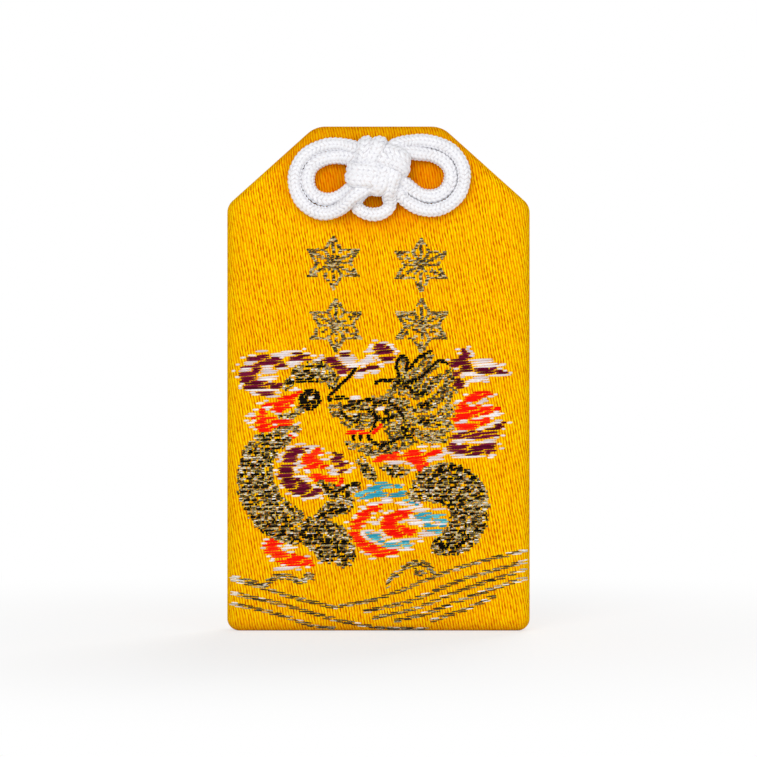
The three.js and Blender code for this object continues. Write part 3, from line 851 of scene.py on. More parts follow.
YARNS = ("gold", "black", "maroon", "ivory", "red", "turquoise", "silver", "dark")
GOLD, BLACK, MAROON, IVORY, RED, TURQUOISE, SILVER, DARK = range(len(YARNS))
GROUND = -1
FINE_YARNS = (GOLD, SILVER, DARK)
# The shortest and the longest float of each yarn
FLOAT_REACH = {GOLD: (0.45, 0.9), DARK: (0.7, 1.5), BLACK: (0.7, 1.8), MAROON: (1.6, 4.2),
               IVORY: (2.2, 6.0), RED: (1.6, 4.2), TURQUOISE: (1.4, 3.6), SILVER: (0.45, 0.85)}
# A float's width, its height and how its ends taper, for most yarns and for those that differ
COMMON_SHAPE = (0.4, 0.28, -0.16)
FLOAT_SHAPE = {GOLD: (0.21, 0.24, -0.3), SILVER: (0.21, 0.24, -0.3), DARK: (0.24, 0.22, -0.26),
               BLACK: (0.41, 0.26, -0.34), IVORY: (0.4, 0.28, 0.06)}
STROKE_STEP = 0.6
SCALE_ROW = 1.7
SCALE_WIDTH = 1.6
RIM_PLACE = 0.72
RIM_CURVE = 1.7
RIM_HALF = 0.2
DASH_REACH = 3
PALE_RIM = 0.5
STREAK_MOST = 8
STREAK_HALF = 0.27


class Loom:
    """The picks of the front face, painted with yarns."""

    def __init__(self):
        self.chooser = np.random.default_rng(5)
        self.z = np.arange(PICTURE_FOOT, PICTURE_TOP, PICK)
        self.x = np.arange(-PICTURE_HALF, PICTURE_HALF + 0.01, SAMPLE)
        self.yarn = np.full((len(self.z), len(self.x)), GROUND)
        self.grid_x, self.grid_z = np.meshgrid(self.x, self.z)

    def ragged(self, amount):
        """Places on the cloth, with each pick slipped sideways a little."""
        slip = self.chooser.uniform(-amount, amount, (len(self.z), 1))
        return self.grid_x + slip, self.grid_z

    def grains(self, reach):
        """A random number for each short stretch of a pick."""
        cells = math.ceil(len(self.x) * SAMPLE / reach) + 1
        coarse = self.chooser.random((len(self.z), cells))
        slip = self.chooser.uniform(0.0, reach, (len(self.z), 1))
        index = ((self.grid_x + PICTURE_HALF + slip) / reach).astype(int)
        return np.take_along_axis(coarse, np.minimum(index, cells - 1), axis=1)

    def paint(self, yarn, where):
        self.yarn[where] = yarn

    def stroke(self, points, widths, ragged):
        """How far inside a brush stroke each place is, and the places along and across it."""
        path = np.array(points, dtype=float)
        if len(path) > 2:
            path = SmoothCurve(path).even(STROKE_STEP)
        half = np.interp(np.linspace(0, 1, len(path)), np.linspace(0, 1, len(widths)), widths)
        gx, gz = self.ragged(ragged)
        inside = np.full(gx.shape, -99.0)
        along = np.zeros(gx.shape)
        across = np.zeros(gx.shape)
        walked = 0.0
        for (ax, az), (bx, bz), wide, wide_next in zip(path[:-1], path[1:], half[:-1], half[1:]):
            dx, dz = bx - ax, bz - az
            reach = math.hypot(dx, dz)
            t = np.clip(((gx - ax) * dx + (gz - az) * dz) / reach ** 2, 0.0, 1.0)
            offset_x, offset_z = gx - ax - t * dx, gz - az - t * dz
            margin = wide + (wide_next - wide) * t - np.hypot(offset_x, offset_z)
            better = margin > inside
            inside = np.where(better, margin, inside)
            along = np.where(better, walked + t * reach, along)
            across = np.where(better, (dx * offset_z - dz * offset_x) / reach, across)
            walked += reach
        return inside, along, across

    def spot(self, yarn, x, z, wide, high, ragged=0.05):
        """An oval of one yarn."""
        gx, gz = self.ragged(ragged)
        self.paint(yarn, np.hypot((gx - x) / wide, (gz - z) / high) < 1.0)

    def scaly(self, points, widths):
        """A stretch of the scaly body: gold, with black dashes along the scales' rims, and bright specks."""
        inside, along, across = self.stroke(points, widths, 0.25)
        body = inside > 0
        row = np.floor(along / SCALE_ROW)
        in_row = along / SCALE_ROW - row
        in_scale = across / SCALE_WIDTH + 0.5 * (row % 2)
        in_scale = in_scale - np.floor(in_scale) - 0.5
        rim = np.abs(in_row - RIM_PLACE + RIM_CURVE * in_scale ** 2) < RIM_HALF
        shifts = range(-DASH_REACH, DASH_REACH + 1)
        dashes = np.logical_or.reduce([np.roll(rim, shift, axis=1) for shift in shifts])
        dashes &= (np.arange(len(self.z)) % 2 == 0)[:, None]
        grain = self.grains(0.55)
        self.paint(GOLD, body & (grain < 0.9))
        self.paint(GROUND, body & (grain >= 0.9))
        self.paint(DARK, body & rim & (grain < 0.3))
        self.paint(BLACK, (inside > 0.3) & dashes & (self.grains(1.5) < 0.92))
        bright = np.where(rim, 0.0, np.where(inside < 0.9, 0.28, 0.2))
        self.paint(SILVER, body & (grain > 0.4) & (grain < 0.4 + bright))

    def curl(self, yarn, points, widths):
        """A curl of cloud or a tongue of fire, with pale streaks round it along the picks."""
        inside, _, _ = self.stroke(points, widths, 0.5)
        self.paint(IVORY, (inside > -PALE_RIM) & (inside <= 0.0) & (self.grains(1.8) > 0.5))
        for row in np.flatnonzero((inside > 0.0).any(axis=1)):
            filled = np.flatnonzero(inside[row] > 0.0)
            before, after = self.chooser.integers(0, STREAK_MOST, 2)
            self.yarn[row, filled[0] - before:filled[0]] = IVORY
            self.yarn[row, filled[-1] + 1:filled[-1] + 1 + after] = IVORY
        self.paint(yarn, (inside > 0.0) & (self.grains(2.2) > 0.05))

    def tuft(self, points, widths):
        """A lock of gold hair with the ground showing between its strands."""
        inside, along, across = self.stroke(points, widths, 0.3)
        grain = self.grains(0.6)
        self.paint(GOLD, (inside > 0) & (grain < 0.9))
        self.paint(DARK, (inside > 0.1) & (grain > 0.22) & (grain < 0.32))
        self.paint(SILVER, (inside > 0) & (grain > 0.5) & (grain < 0.54))
        strand = np.abs(np.sin(across * 2.7 + 0.4 * np.sin(along))) < 0.2
        self.paint(GROUND, (inside > 0.15) & strand & (grain < 0.8))

    def line(self, yarn, points, half=0.28):
        """A thin line of one yarn."""
        inside, _, _ = self.stroke(points, (half, half), 0.1)
        self.paint(yarn, inside > 0)


STAR_PLACES = ((-6.7, 54.6), (6.3, 54.3), (-6.3, 45.4), (6.4, 45.3))
STAR_SIZE = 3.9
STAR_WAIST = 0.577
STAR_WIDER = 1.08
STAR_LOWER = 0.98
STAR_LINE = (0.25, 0.25)


def hemp_leaf(loom, x, z):
    """A six-pointed hemp-leaf star of gold lines."""
    def spoke(share, turn):
        reach, angle = STAR_SIZE * share, math.radians(turn)
        return (x + reach * math.cos(angle) * STAR_WIDER, z + reach * math.sin(angle) * STAR_LOWER)
    middle = (x, z)
    for turn in range(30, 390, 60):
        tip = spoke(1.0, turn)
        after, before = spoke(STAR_WAIST, turn + 30), spoke(STAR_WAIST, turn - 30)
        for line in ((middle, tip), (middle, after), (after, tip), (before, tip)):
            inside, _, _ = loom.stroke(line, STAR_LINE, 0.1)
            loom.paint(GOLD, (inside > 0) & (loom.grains(0.6) < 0.9))


# Wave lines and crests, across and up the face
WAVES = [
    [(-6.1, 3.7), (-2.0, 4.4), (2.9, 5.9), (9.2, 8.5), (14.9, 10.3), (22.2, 12.1)],
    [(-2.7, 2.8), (4.9, 4.6), (12.4, 7.7), (22.2, 10.5)],
    [(-1.0, 1.9), (6.0, 3.6), (12.4, 6.2), (22.2, 9.3)],
    [(2.3, 1.5), (7.2, 2.7), (12.4, 4.7), (17.0, 6.4), (22.2, 8.0)],
    [(7.5, 1.5), (13.4, 3.5), (17.4, 5.4)],
    [(-22.2, 7.8), (-16.9, 6.4), (-12.1, 4.9), (-6.1, 3.5)],
    [(-22.2, 5.8), (-16.3, 4.5), (-10.7, 3.0), (-6.1, 1.7), (0.7, 0.4), (7.5, 0.2)],
    [(-22.2, 4.2), (-17.8, 3.3), (-13.5, 2.1), (-9.3, 0.7), (-6.0, 0.3)],
    [(-22.2, 8.3), (-19.6, 7.6), (-16.4, 6.8)],
]
CRESTS = [
    [(-17.0, 6.7), (-15.6, 7.9), (-13.8, 8.2), (-12.0, 7.5), (-10.6, 7.4)],
    [(-11.4, 7.5), (-10.5, 8.3), (-9.4, 7.9)],
    [(1.3, 6.4), (1.8, 8.0), (3.4, 8.7)],
    [(3.0, 8.9), (4.6, 9.9), (6.4, 10.2), (7.7, 9.4), (8.3, 8.2)],
    [(5.2, 9.2), (5.9, 8.6), (7.2, 8.9)],
]


# How far the rows of floats in a line stand from its middle, and how long the floats are
WAVE_RISES = (-0.2, 0.0, 0.2)
WAVE_REACH = (0.8, 1.4)
CREST_RISES = (-0.4, -0.2, 0.0, 0.2, 0.4)
CREST_REACH = (0.5, 0.9)
WAVE_OVERLAP = 0.15
WAVE_LEAN = 0.35
PALE_BEYOND = 20.4
LEAST_REST = 0.6


def wave_floats(loom):
    """The wave lines: gold floats in steps, broken here and there, pale near the sides."""
    chooser = loom.chooser
    floats = {GOLD: [], SILVER: []}
    rows = [(wave, rise, WAVE_REACH) for wave in WAVES for rise in WAVE_RISES]
    rows += [(crest, rise, CREST_REACH) for crest in CRESTS for rise in CREST_RISES]
    for points, rise, reaches in rows:
        line = SmoothCurve([(x, z + rise) for x, z in points])
        walked = chooser.uniform(0.0, LEAST_REST)
        while walked < line.length - LEAST_REST:
            reach = min(chooser.uniform(*reaches), line.length - walked)
            ends = np.interp([walked, walked + reach], line.walked, line.shares)
            (ax, az), (bx, bz) = line.at(ends)
            middle = ((ax + bx) / 2, (az + bz) / 2 + chooser.uniform(-0.06, 0.06))
            place, turned = face_place(*middle)
            turned = (turned[0], -WAVE_LEAN * math.atan2(bz - az, bx - ax), turned[2])
            yarn = SILVER if abs(middle[0]) > PALE_BEYOND or chooser.random() < 0.07 else GOLD
            floats[yarn].append((place, turned, reach + WAVE_OVERLAP, chooser.random() * 0.85))
            walked += reach + (0.5 if chooser.random() < 0.3 else 0.0)
    return floats


# The coiling creature, its clouds and its fire: strokes across and up the face
PALE_STREAKS = [
    [(-14.2, 41.6), (-11.6, 41.4)], [(-13.0, 40.9), (-9.0, 39.9)], [(-9.4, 40.0), (-6.6, 39.7)],
    [(-6.2, 40.2), (-0.6, 40.0)], [(-4.6, 38.3), (-1.4, 38.4)], [(-2.0, 41.5), (0.4, 42.4)],
    [(-17.8, 38.3), (-15.0, 38.6)], [(13.4, 40.0), (17.0, 39.7)], [(14.0, 38.0), (19.6, 38.2)],
    [(11.8, 37.0), (16.2, 37.2)], [(11.6, 34.0), (15.4, 33.8)], [(13.8, 31.8), (18.2, 32.2)],
    [(10.6, 29.8), (17.2, 30.2)], [(11.0, 28.0), (17.4, 28.2)], [(10.8, 26.0), (16.8, 25.8)],
    [(-13.4, 32.3), (-15.8, 32.2)], [(-12.6, 30.0), (-15.6, 30.1)], [(-12.8, 24.6), (-10.4, 24.0)],
    [(-7.8, 24.2), (-4.2, 23.6)], [(-7.4, 25.6), (-5.6, 25.8)], [(-11.8, 20.3), (-8.2, 19.8)],
    [(-12.6, 22.9), (-10.2, 22.8)], [(-1.6, 18.9), (2.0, 19.2)], [(3.2, 19.0), (6.4, 18.4)],
    [(-1.8, 16.4), (0.6, 15.8)], [(4.4, 16.2), (8.6, 16.0)], [(3.0, 18.0), (10.0, 18.2)],
    [(5.8, 14.6), (9.6, 14.2)], [(-1.4, 13.0), (1.2, 12.4)], [(2.0, 13.8), (6.6, 13.6)],
    [(2.2, 12.0), (5.0, 12.2)], [(6.2, 25.6), (9.6, 25.6)], [(1.4, 25.2), (4.0, 25.1)],
    [(-13.8, 12.6), (-12.2, 12.4)], [(-11.4, 9.4), (-15.4, 9.4)],
]
STREAKS_OVER = [
    [(-15.9, 41.0), (-13.1, 41.1)], [(-19.8, 39.8), (-18.1, 39.9)], [(-20.6, 38.7), (-19.0, 38.8)],
    [(-17.2, 39.1), (-15.8, 39.2)], [(-17.8, 37.5), (-14.9, 37.6)],
    [(-19.0, 35.7), (-14.4, 35.8)], [(-13.5, 39.8), (-8.2, 39.9)], [(-13.2, 39.4), (-9.4, 39.5)],
    [(-5.7, 40.2), (-0.8, 40.3)], [(-5.4, 39.8), (-1.4, 39.9)], [(-4.6, 39.3), (-3.1, 39.4)],
    [(-2.5, 38.3), (-0.1, 38.5)], [(-3.4, 37.8), (-2.2, 37.9)], [(-1.8, 40.7), (-0.2, 40.9)],
    [(14.2, 40.1), (16.8, 40.2)], [(14.0, 39.5), (18.8, 39.5)], [(13.6, 37.4), (16.2, 37.6)],
]
CURLS = [
    (MAROON, [(-13.9, 39.8), (-17.2, 40.0), (-19.5, 38.5), (-18.6, 36.8), (-16.2, 36.0), (-14.2, 36.4)],
     (0.6, 1.0, 1.45, 1.35, 1.1, 0.5)),
    (MAROON, [(-13.2, 40.9), (-11.4, 40.5), (-9.8, 40.2)], (0.5, 0.9, 0.5)),
    (MAROON, [(-7.6, 40.3), (-5.4, 39.3), (-2.4, 38.9)], (0.6, 1.1, 0.5)),
    (MAROON, [(-0.4, 42.4), (0.5, 41.4), (2.4, 40.8)], (0.5, 1.25, 0.4)),
    (MAROON, [(-5.4, 41.0), (-4.1, 41.1)], (0.25, 0.25)),
    (MAROON, [(-2.9, 38.9), (-0.2, 39.2)], (0.25, 0.3)),
    (MAROON, [(12.7, 41.6), (13.0, 40.0), (11.3, 39.0), (11.4, 37.4), (12.2, 36.2)],
     (0.39, 1.08, 1.08, 1.08, 0.51)),
    (MAROON, [(13.0, 39.1), (15.6, 38.9), (18.6, 38.5)], (0.74, 0.62, 0.28)),
    (MAROON, [(18.2, 30.6), (17.2, 29.5), (14.6, 29.2), (11.0, 29.1)], (0.51, 0.85, 0.51, 0.62)),
    (MAROON, [(10.2, 27.3), (13.4, 26.9), (16.6, 27.2)], (0.51, 0.85, 0.74)),
    (MAROON, [(-6.2, 26.0), (-5.4, 24.6), (-5.2, 23.4)], (0.62, 0.85, 0.39)),
    (MAROON, [(-10.2, 26.8), (-12.8, 26.0), (-13.9, 24.0), (-13.2, 22.2), (-11.4, 21.2), (-8.8, 20.8)],
     (0.62, 1.2, 1.08, 1.08, 1.2, 0.62)),
    (RED, [(-9.0, 26.6), (-10.2, 25.2), (-8.6, 24.2), (-8.8, 22.8), (-5.6, 22.2)],
     (0.65, 1.13, 1.13, 1.01, 0.53)),
    (RED, [(-12.0, 35.0), (-14.4, 33.7), (-17.4, 33.0)], (0.65, 1.13, 0.53)),
    (RED, [(-18.8, 31.4), (-16.6, 31.1), (-12.8, 30.9)], (0.53, 1.25, 0.41)),
    (RED, [(-16.9, 32.6), (-17.0, 30.4), (-15.8, 29.0), (-13.0, 28.9)], (0.53, 1.01, 0.77, 0.41)),
    (RED, [(16.8, 35.3), (14.2, 34.7), (12.6, 33.4), (11.2, 32.0), (12.2, 30.9), (16.4, 31.2)],
     (0.41, 0.65, 0.89, 1.13, 1.01, 0.41)),
    (RED, [(11.8, 32.2), (15.0, 32.8), (18.0, 33.0)], (1.01, 0.77, 0.29)),
    (RED, [(-12.5, 14.9), (-14.8, 13.5), (-16.3, 12.5), (-14.8, 11.4), (-12.4, 10.5), (-9.0, 10.1)],
     (0.3, 0.7, 0.8, 0.9, 0.85, 0.25)),
    (RED, [(-0.4, 25.6), (3.6, 26.2), (9.0, 26.7)], (0.53, 0.77, 0.41)),
    (RED, [(4.6, 26.2), (6.0, 25.2), (6.6, 24.2)], (1.01, 1.25, 0.53)),
    (TURQUOISE, [(-2.8, 20.0), (0.0, 21.0), (2.8, 20.6), (5.2, 19.3)], (0.6, 1.1, 1.1, 0.6)),
    (TURQUOISE, [(4.6, 17.2), (7.6, 17.0), (10.6, 16.2)], (0.4, 0.8, 0.8)),
    (TURQUOISE, [(6.8, 15.5), (9.4, 15.1)], (0.5, 0.65)),
    (TURQUOISE, [(-1.8, 14.5), (0.2, 13.7)], (0.5, 0.6)),
    (TURQUOISE, [(0.8, 12.9), (4.6, 12.9)], (0.4, 0.5)),
    (RED, [(0.0, 18.5), (-2.2, 17.3), (-3.2, 15.4), (-3.0, 13.6), (-0.6, 12.0), (2.8, 11.7)],
     (0.41, 0.77, 0.89, 0.89, 0.77, 0.29)),
    (RED, [(4.6, 17.5), (2.2, 17.0), (0.9, 15.9), (2.6, 14.9), (5.0, 14.7)],
     (0.41, 0.77, 1.13, 1.01, 0.41)),
]
SCALY_COILS = [
    ([(-14.0, 28.5), (-17.2, 27.0), (-18.3, 23.6), (-17.6, 20.0), (-15.6, 17.2), (-12.6, 15.4)],
     (1.0, 2.3, 2.6, 2.9, 3.1, 2.6)),
    ([(-11.4, 15.8), (-8.6, 14.2), (-6.4, 12.6), (-5.0, 11.2)], (1.4, 2.6, 3.0, 1.7)),
    ([(-8.6, 22.0), (-6.6, 20.7), (-4.8, 20.8), (-3.0, 21.6)], (0.5, 1.1, 0.9, 0.5)),
    ([(-9.0, 16.8), (-6.8, 18.2), (-4.8, 18.6), (-4.4, 20.4)], (0.6, 1.2, 1.1, 0.6)),
    ([(-2.6, 25.2), (-1.4, 23.4), (-0.6, 22.8)], (0.7, 1.0, 0.5)),
    ([(0.8, 24.2), (2.4, 23.8), (4.0, 23.6)], (0.5, 1.0, 0.6)),
    ([(5.2, 20.3), (8.2, 21.9), (11.4, 21.4), (13.3, 19.3), (13.3, 16.4), (11.9, 14.0), (9.2, 12.6)],
     (1.0, 2.7, 3.3, 3.1, 2.8, 2.4, 1.4)),
    ([(-13.6, 36.2), (-11.8, 38.2), (-8.8, 38.8), (-6.4, 37.4)], (0.5, 1.2, 1.3, 0.7)),
    ([(-8.4, 38.0), (-7.0, 36.6), (-7.0, 35.4)], (1.0, 0.7, 0.4)),
    ([(-11.6, 32.8), (-13.2, 32.0), (-14.8, 31.6)], (0.6, 0.6, 0.3)),
    ([(-12.0, 30.0), (-13.8, 30.0), (-15.4, 29.8)], (0.6, 0.6, 0.3)),
]
MANE = [
    ([(4.2, 37.4), (6.6, 38.6), (8.6, 39.6)], (0.8, 0.9, 0.5)),
    ([(5.6, 36.2), (8.2, 36.6), (10.8, 37.4)], (1.2, 1.3, 0.6)),
    ([(6.4, 34.6), (9.0, 35.0), (11.2, 35.8)], (1.0, 1.2, 0.5)),
    ([(7.0, 32.2), (9.6, 32.6), (10.8, 33.0)], (1.0, 1.2, 0.6)),
    ([(6.6, 29.6), (9.4, 29.8), (10.6, 30.2)], (0.9, 1.1, 0.5)),
    ([(4.0, 32.2), (7.6, 35.2), (10.4, 38.6)], (2.4, 2.0, 0.5)),
    ([(5.2, 31.8), (8.6, 33.0), (10.8, 35.2)], (2.0, 1.6, 0.4)),
    ([(5.4, 30.6), (8.8, 30.8), (10.6, 31.8)], (1.8, 1.5, 0.4)),
    ([(4.8, 29.6), (8.2, 28.8), (10.2, 28.6)], (1.6, 1.3, 0.4)),
    ([(3.2, 34.4), (5.2, 36.8), (7.6, 40.6)], (1.6, 1.3, 0.6)),
    ([(2.4, 35.2), (3.5, 38.0), (3.6, 40.2)], (1.4, 0.8, 0.5)),
    ([(-0.6, 33.6), (2.0, 32.6), (4.8, 31.0)], (1.4, 2.3, 2.6)),
    ([(-6.2, 32.9), (-3.8, 32.6), (-0.8, 32.2)], (1.2, 1.7, 1.5)),
    ([(-4.8, 27.7), (-1.8, 27.0), (1.6, 27.4), (5.4, 28.6)], (0.5, 0.9, 1.0, 0.8)),
    ([(1.5, 30.6), (2.0, 29.6), (3.6, 29.2)], (0.6, 1.0, 1.0)),
    ([(-5.0, 31.2), (-3.0, 30.7), (-1.4, 30.6)], (0.6, 0.9, 0.5)),
]
DARK_LINES = [
    [(-7.4, 34.4), (-5.4, 34.6), (-3.0, 34.1), (-0.8, 34.5)], [(-7.3, 34.9), (-5.4, 36.8), (-3.3, 39.0)],
    [(-5.6, 32.5), (-4.4, 31.5), (-2.8, 31.0)], [(-1.8, 32.9), (-0.5, 32.2), (-0.6, 30.6), (-1.3, 29.2)],
    [(-1.2, 28.4), (0.0, 27.7), (1.6, 27.9), (3.2, 28.7), (5.0, 28.9)],
    [(-0.2, 31.7), (1.0, 31.4), (2.2, 31.9)],
    [(-0.5, 36.8), (0.6, 37.3), (2.6, 37.0), (4.2, 36.5), (5.2, 35.4), (7.2, 35.2)],
    [(3.0, 37.6), (2.7, 40.0), (3.5, 40.9), (4.3, 40.2), (4.1, 38.8)],
    [(4.6, 39.0), (6.0, 40.6), (7.8, 41.5)],
    [(4.4, 36.9), (6.4, 37.7), (8.2, 39.6), (9.2, 40.2), (10.1, 39.8)],
    [(-13.2, 37.0), (-10.8, 37.2), (-9.2, 37.0)], [(-8.9, 17.0), (-6.8, 18.0), (-5.0, 17.9)],
    [(-8.2, 21.8), (-6.2, 20.6), (-4.6, 21.6), (-2.9, 21.9)],
    [(-11.2, 14.2), (-8.6, 13.6), (-6.2, 13.0), (-4.6, 13.3)],
    [(-5.2, 33.4), (-4.4, 33.6), (-3.6, 33.2)], [(2.9, 33.0), (3.8, 31.8)],
    [(3.4, 30.2), (4.4, 29.8)], [(6.2, 33.4), (7.4, 33.8)], [(6.0, 31.0), (7.4, 31.2)],
    [(7.2, 22.2), (9.6, 23.8), (12.4, 24.0), (14.4, 22.6)],
    [(8.4, 13.4), (9.8, 12.6), (11.6, 12.5), (13.2, 13.8)],
]
GROUND_LINES = [
    [(4.6, 33.6), (7.4, 34.8), (9.6, 37.0)], [(5.2, 32.2), (8.2, 32.6), (10.0, 34.0)],
    [(5.0, 30.4), (8.0, 30.0), (9.8, 30.4)], [(0.0, 31.0), (-0.2, 29.6), (0.8, 29.0)],
    [(2.4, 35.0), (4.4, 34.6), (5.6, 33.2)], [(4.4, 29.4), (6.0, 28.2), (7.6, 27.6)],
]


def weave_dragon(loom):
    """A long scaly creature coiling through clouds and fire, reaching for a dark pearl."""
    for points in PALE_STREAKS:
        loom.line(IVORY, points, STREAK_HALF)
    for yarn, points, widths in CURLS:
        loom.curl(yarn, points, widths)
    for points in STREAKS_OVER:
        loom.line(IVORY, points, STREAK_HALF)
    for points, widths in SCALY_COILS:
        loom.scaly(points, widths)
    for points, widths in MANE:
        loom.tuft(points, widths)
    for points in GROUND_LINES:
        loom.line(GROUND, points, 0.2)
    for points in DARK_LINES:
        loom.line(BLACK, points)
    # Eye, brow and nostril
    loom.spot(GROUND, 0.9, 32.4, 1.0, 0.5, 0.1)
    loom.spot(IVORY, 0.3, 33.0, 0.9, 0.3, 0.1)
    loom.spot(BLACK, 1.2, 32.5, 0.5, 0.45)
    loom.line(BLACK, [(-0.7, 33.6), (0.8, 34.1), (2.6, 33.4)], 0.3)
    loom.spot(IVORY, -3.4, 34.6, 1.0, 0.4, 0.1)
    # Lips and teeth
    loom.line(RED, [(-4.6, 29.4), (-2.8, 29.6), (-1.6, 29.2)], 0.35)
    loom.line(RED, [(-1.0, 29.2), (0.4, 30.6)], 0.34)
    for x in (-4.2, -3.1, -2.0):
        loom.spot(IVORY, x, 28.7, 0.33, 0.36)
        loom.spot(BLACK, x + 0.5, 28.8, 0.35, 0.5)
    # Pearl
    loom.spot(BLACK, -10.1, 34.4, 1.7, 1.6, 0.15)
    loom.spot(SILVER, -10.0, 34.7, 0.5, 0.28)


# The furthest that a yarn goes round the pouch's edge, as an angle
FURTHEST_ROUND = 1.4


def face_place(x, z):
    """A place on the front face or its rounded edge, and the turn that lays a yarn flat there."""
    limit = POUCH_WIDTH / 2 - EDGE_RADIUS
    over_side = max(abs(x) - limit, 0.0)
    over_fold = max(EDGE_RADIUS - z, 0.0)
    if over_side == 0.0 and over_fold == 0.0:
        proud = float(swell(np.array(x), np.array(z)))
        return (x, -FACE - proud, z), (0.0, 0.0, 0.0)
    angle = min(max(over_side, over_fold) / EDGE_RADIUS, FURTHEST_ROUND)
    depth = -FACE + EDGE_RADIUS * (1 - math.cos(angle))
    if over_side > over_fold:
        out = math.copysign(limit + EDGE_RADIUS * math.sin(angle), x)
        return (out, depth, z), (0.0, 0.0, math.copysign(angle, x))
    return (x, depth, EDGE_RADIUS * (1 - math.sin(angle))), (angle, 0.0, 0.0)


STUMP = 0.3
FLOAT_GAP = 0.04


def weft_runs(loom):
    """Each painted run of a pick, cut into floats: where, how turned, how long and how light."""
    floats = {yarn: [] for yarn in range(len(YARNS))}
    chooser = loom.chooser
    for row, z in enumerate(loom.z):
        painted = loom.yarn[row]
        breaks = np.flatnonzero(np.diff(painted)) + 1
        for run in np.split(np.arange(len(painted)), breaks):
            yarn = painted[run[0]]
            if yarn == GROUND:
                continue
            fine = yarn in FINE_YARNS
            shortest = 0.25 if fine or yarn == BLACK else 0.6
            for shift in (-PICK / 4, PICK / 4) if fine else (0.0,):
                left = loom.x[run[0]] - SAMPLE / 2
                right = loom.x[run[-1]] + SAMPLE / 2
                while right - left > shortest:
                    reach = min(chooser.uniform(*FLOAT_REACH[yarn]), right - left)
                    if right - left - reach < STUMP:
                        reach = right - left
                    place, turned = face_place(left + reach / 2, z + shift + chooser.uniform(-0.04, 0.04))
                    slant = chooser.uniform(-0.3, 0.2) if fine else chooser.uniform(-0.1, -0.01)
                    turned = (turned[0], slant, turned[2])
                    laid = GOLD if yarn == SILVER and shift > 0 else yarn
                    floats[laid].append((place, turned, reach, chooser.random()))
                    left += reach + (0.0 if fine else FLOAT_GAP)
    return floats


def weft_float_tree():
    """Geometry nodes that lay one plump float on each point."""
    group = bpy.data.node_groups.new("weft_float", "GeometryNodeTree")
    for name, kind in (("Points", "Geometry"), ("Width", "Float"), ("Loft", "Float"), ("Taper", "Float"),
                       ("Yarn", "Material")):
        group.interface.new_socket(name, in_out="INPUT", socket_type="NodeSocket" + kind)
    group.interface.new_socket("Floats", in_out="OUTPUT", socket_type="NodeSocketGeometry")
    tree = Tree(group)
    given = tree.add("NodeGroupInput")
    ball = tree.add("GeometryNodeMeshUVSphere", None, {"Segments": 5, "Rings": 6, "Radius": 0.5})
    place = tree.add("ShaderNodeSeparateXYZ", None, {0: tree.add("GeometryNodeInputPosition")})
    x, y, z = (place.output(axis) for axis in "XYZ")
    lengthwise = z * 2.0
    plump = (1.001 - lengthwise * lengthwise) ** given.output("Taper")
    blunt = tree.vector(x * plump, y * plump, z)
    capsule = tree.add("GeometryNodeSetPosition", None, {"Geometry": ball, "Position": blunt})
    section = tree.vector(given.output("Loft"), given.output("Width"), 1.0)
    spindle = tree.add("GeometryNodeTransform", None, {"Geometry": capsule, "Scale": section})
    lying = tree.add("GeometryNodeTransform", None,
                     {"Geometry": spindle, "Rotation": (0.0, math.pi / 2, math.pi)})
    upright = tree.add("GeometryNodeTransform", None,
                       {"Geometry": lying, "Rotation": (math.pi / 2, 0.0, 0.0)})
    smooth = tree.add("GeometryNodeSetShadeSmooth", None, {"Geometry": upright})
    reach, turned = (tree.add("GeometryNodeInputNamedAttribute", {"data_type": kind}, {"Name": name})
                     for name, kind in (("reach", "FLOAT"), ("turned", "FLOAT_VECTOR")))
    rotation = tree.add("FunctionNodeEulerToRotation", None, {0: turned})
    laid = tree.add("GeometryNodeInstanceOnPoints", None,
                    {"Points": given.output("Points"), "Instance": smooth, "Rotation": rotation,
                     "Scale": tree.vector(reach, 1.0, 1.0)})
    real = tree.add("GeometryNodeRealizeInstances", None, {"Geometry": laid})
    dyed = tree.add("GeometryNodeSetMaterial", None, {"Geometry": real, "Material": given.output("Yarn")})
    tree.add("NodeGroupOutput", None, {0: dyed})
    return group


def set_inputs(modifier, **values):
    """Sets a modifier's inputs by their sockets' identifiers."""
    for item in modifier.node_group.interface.items_tree:
        if item.item_type == "SOCKET" and item.in_out == "INPUT" and item.name.lower() in values:
            modifier[item.identifier] = values[item.name.lower()]


def grown(name, points, group, **values):
    """A plain mesh that a node group grows on points with a reach, a turn and a tint."""
    places, turns, reaches, tints = (np.array(column) for column in zip(*points))
    mesh = bpy.data.meshes.new(name + "_points")
    mesh.from_pydata([tuple(place) for place in places * MM], [], [])
    for layer, kind, field, column in (("reach", "FLOAT", "value", reaches * MM),
                                       ("turned", "FLOAT_VECTOR", "vector", turns),
                                       ("tint", "FLOAT", "value", tints)):
        data = mesh.attributes.new(layer, kind, "POINT").data
        data.foreach_set(field, column.astype(np.float32).ravel())
    seed = add_piece(name + "_points", mesh)
    growth = seed.modifiers.new("growth", "NODES")
    growth.node_group = group
    set_inputs(growth, **values)
    shape = plain_mesh(seed)
    bpy.data.objects.remove(seed)
    return add_piece(name, shape)


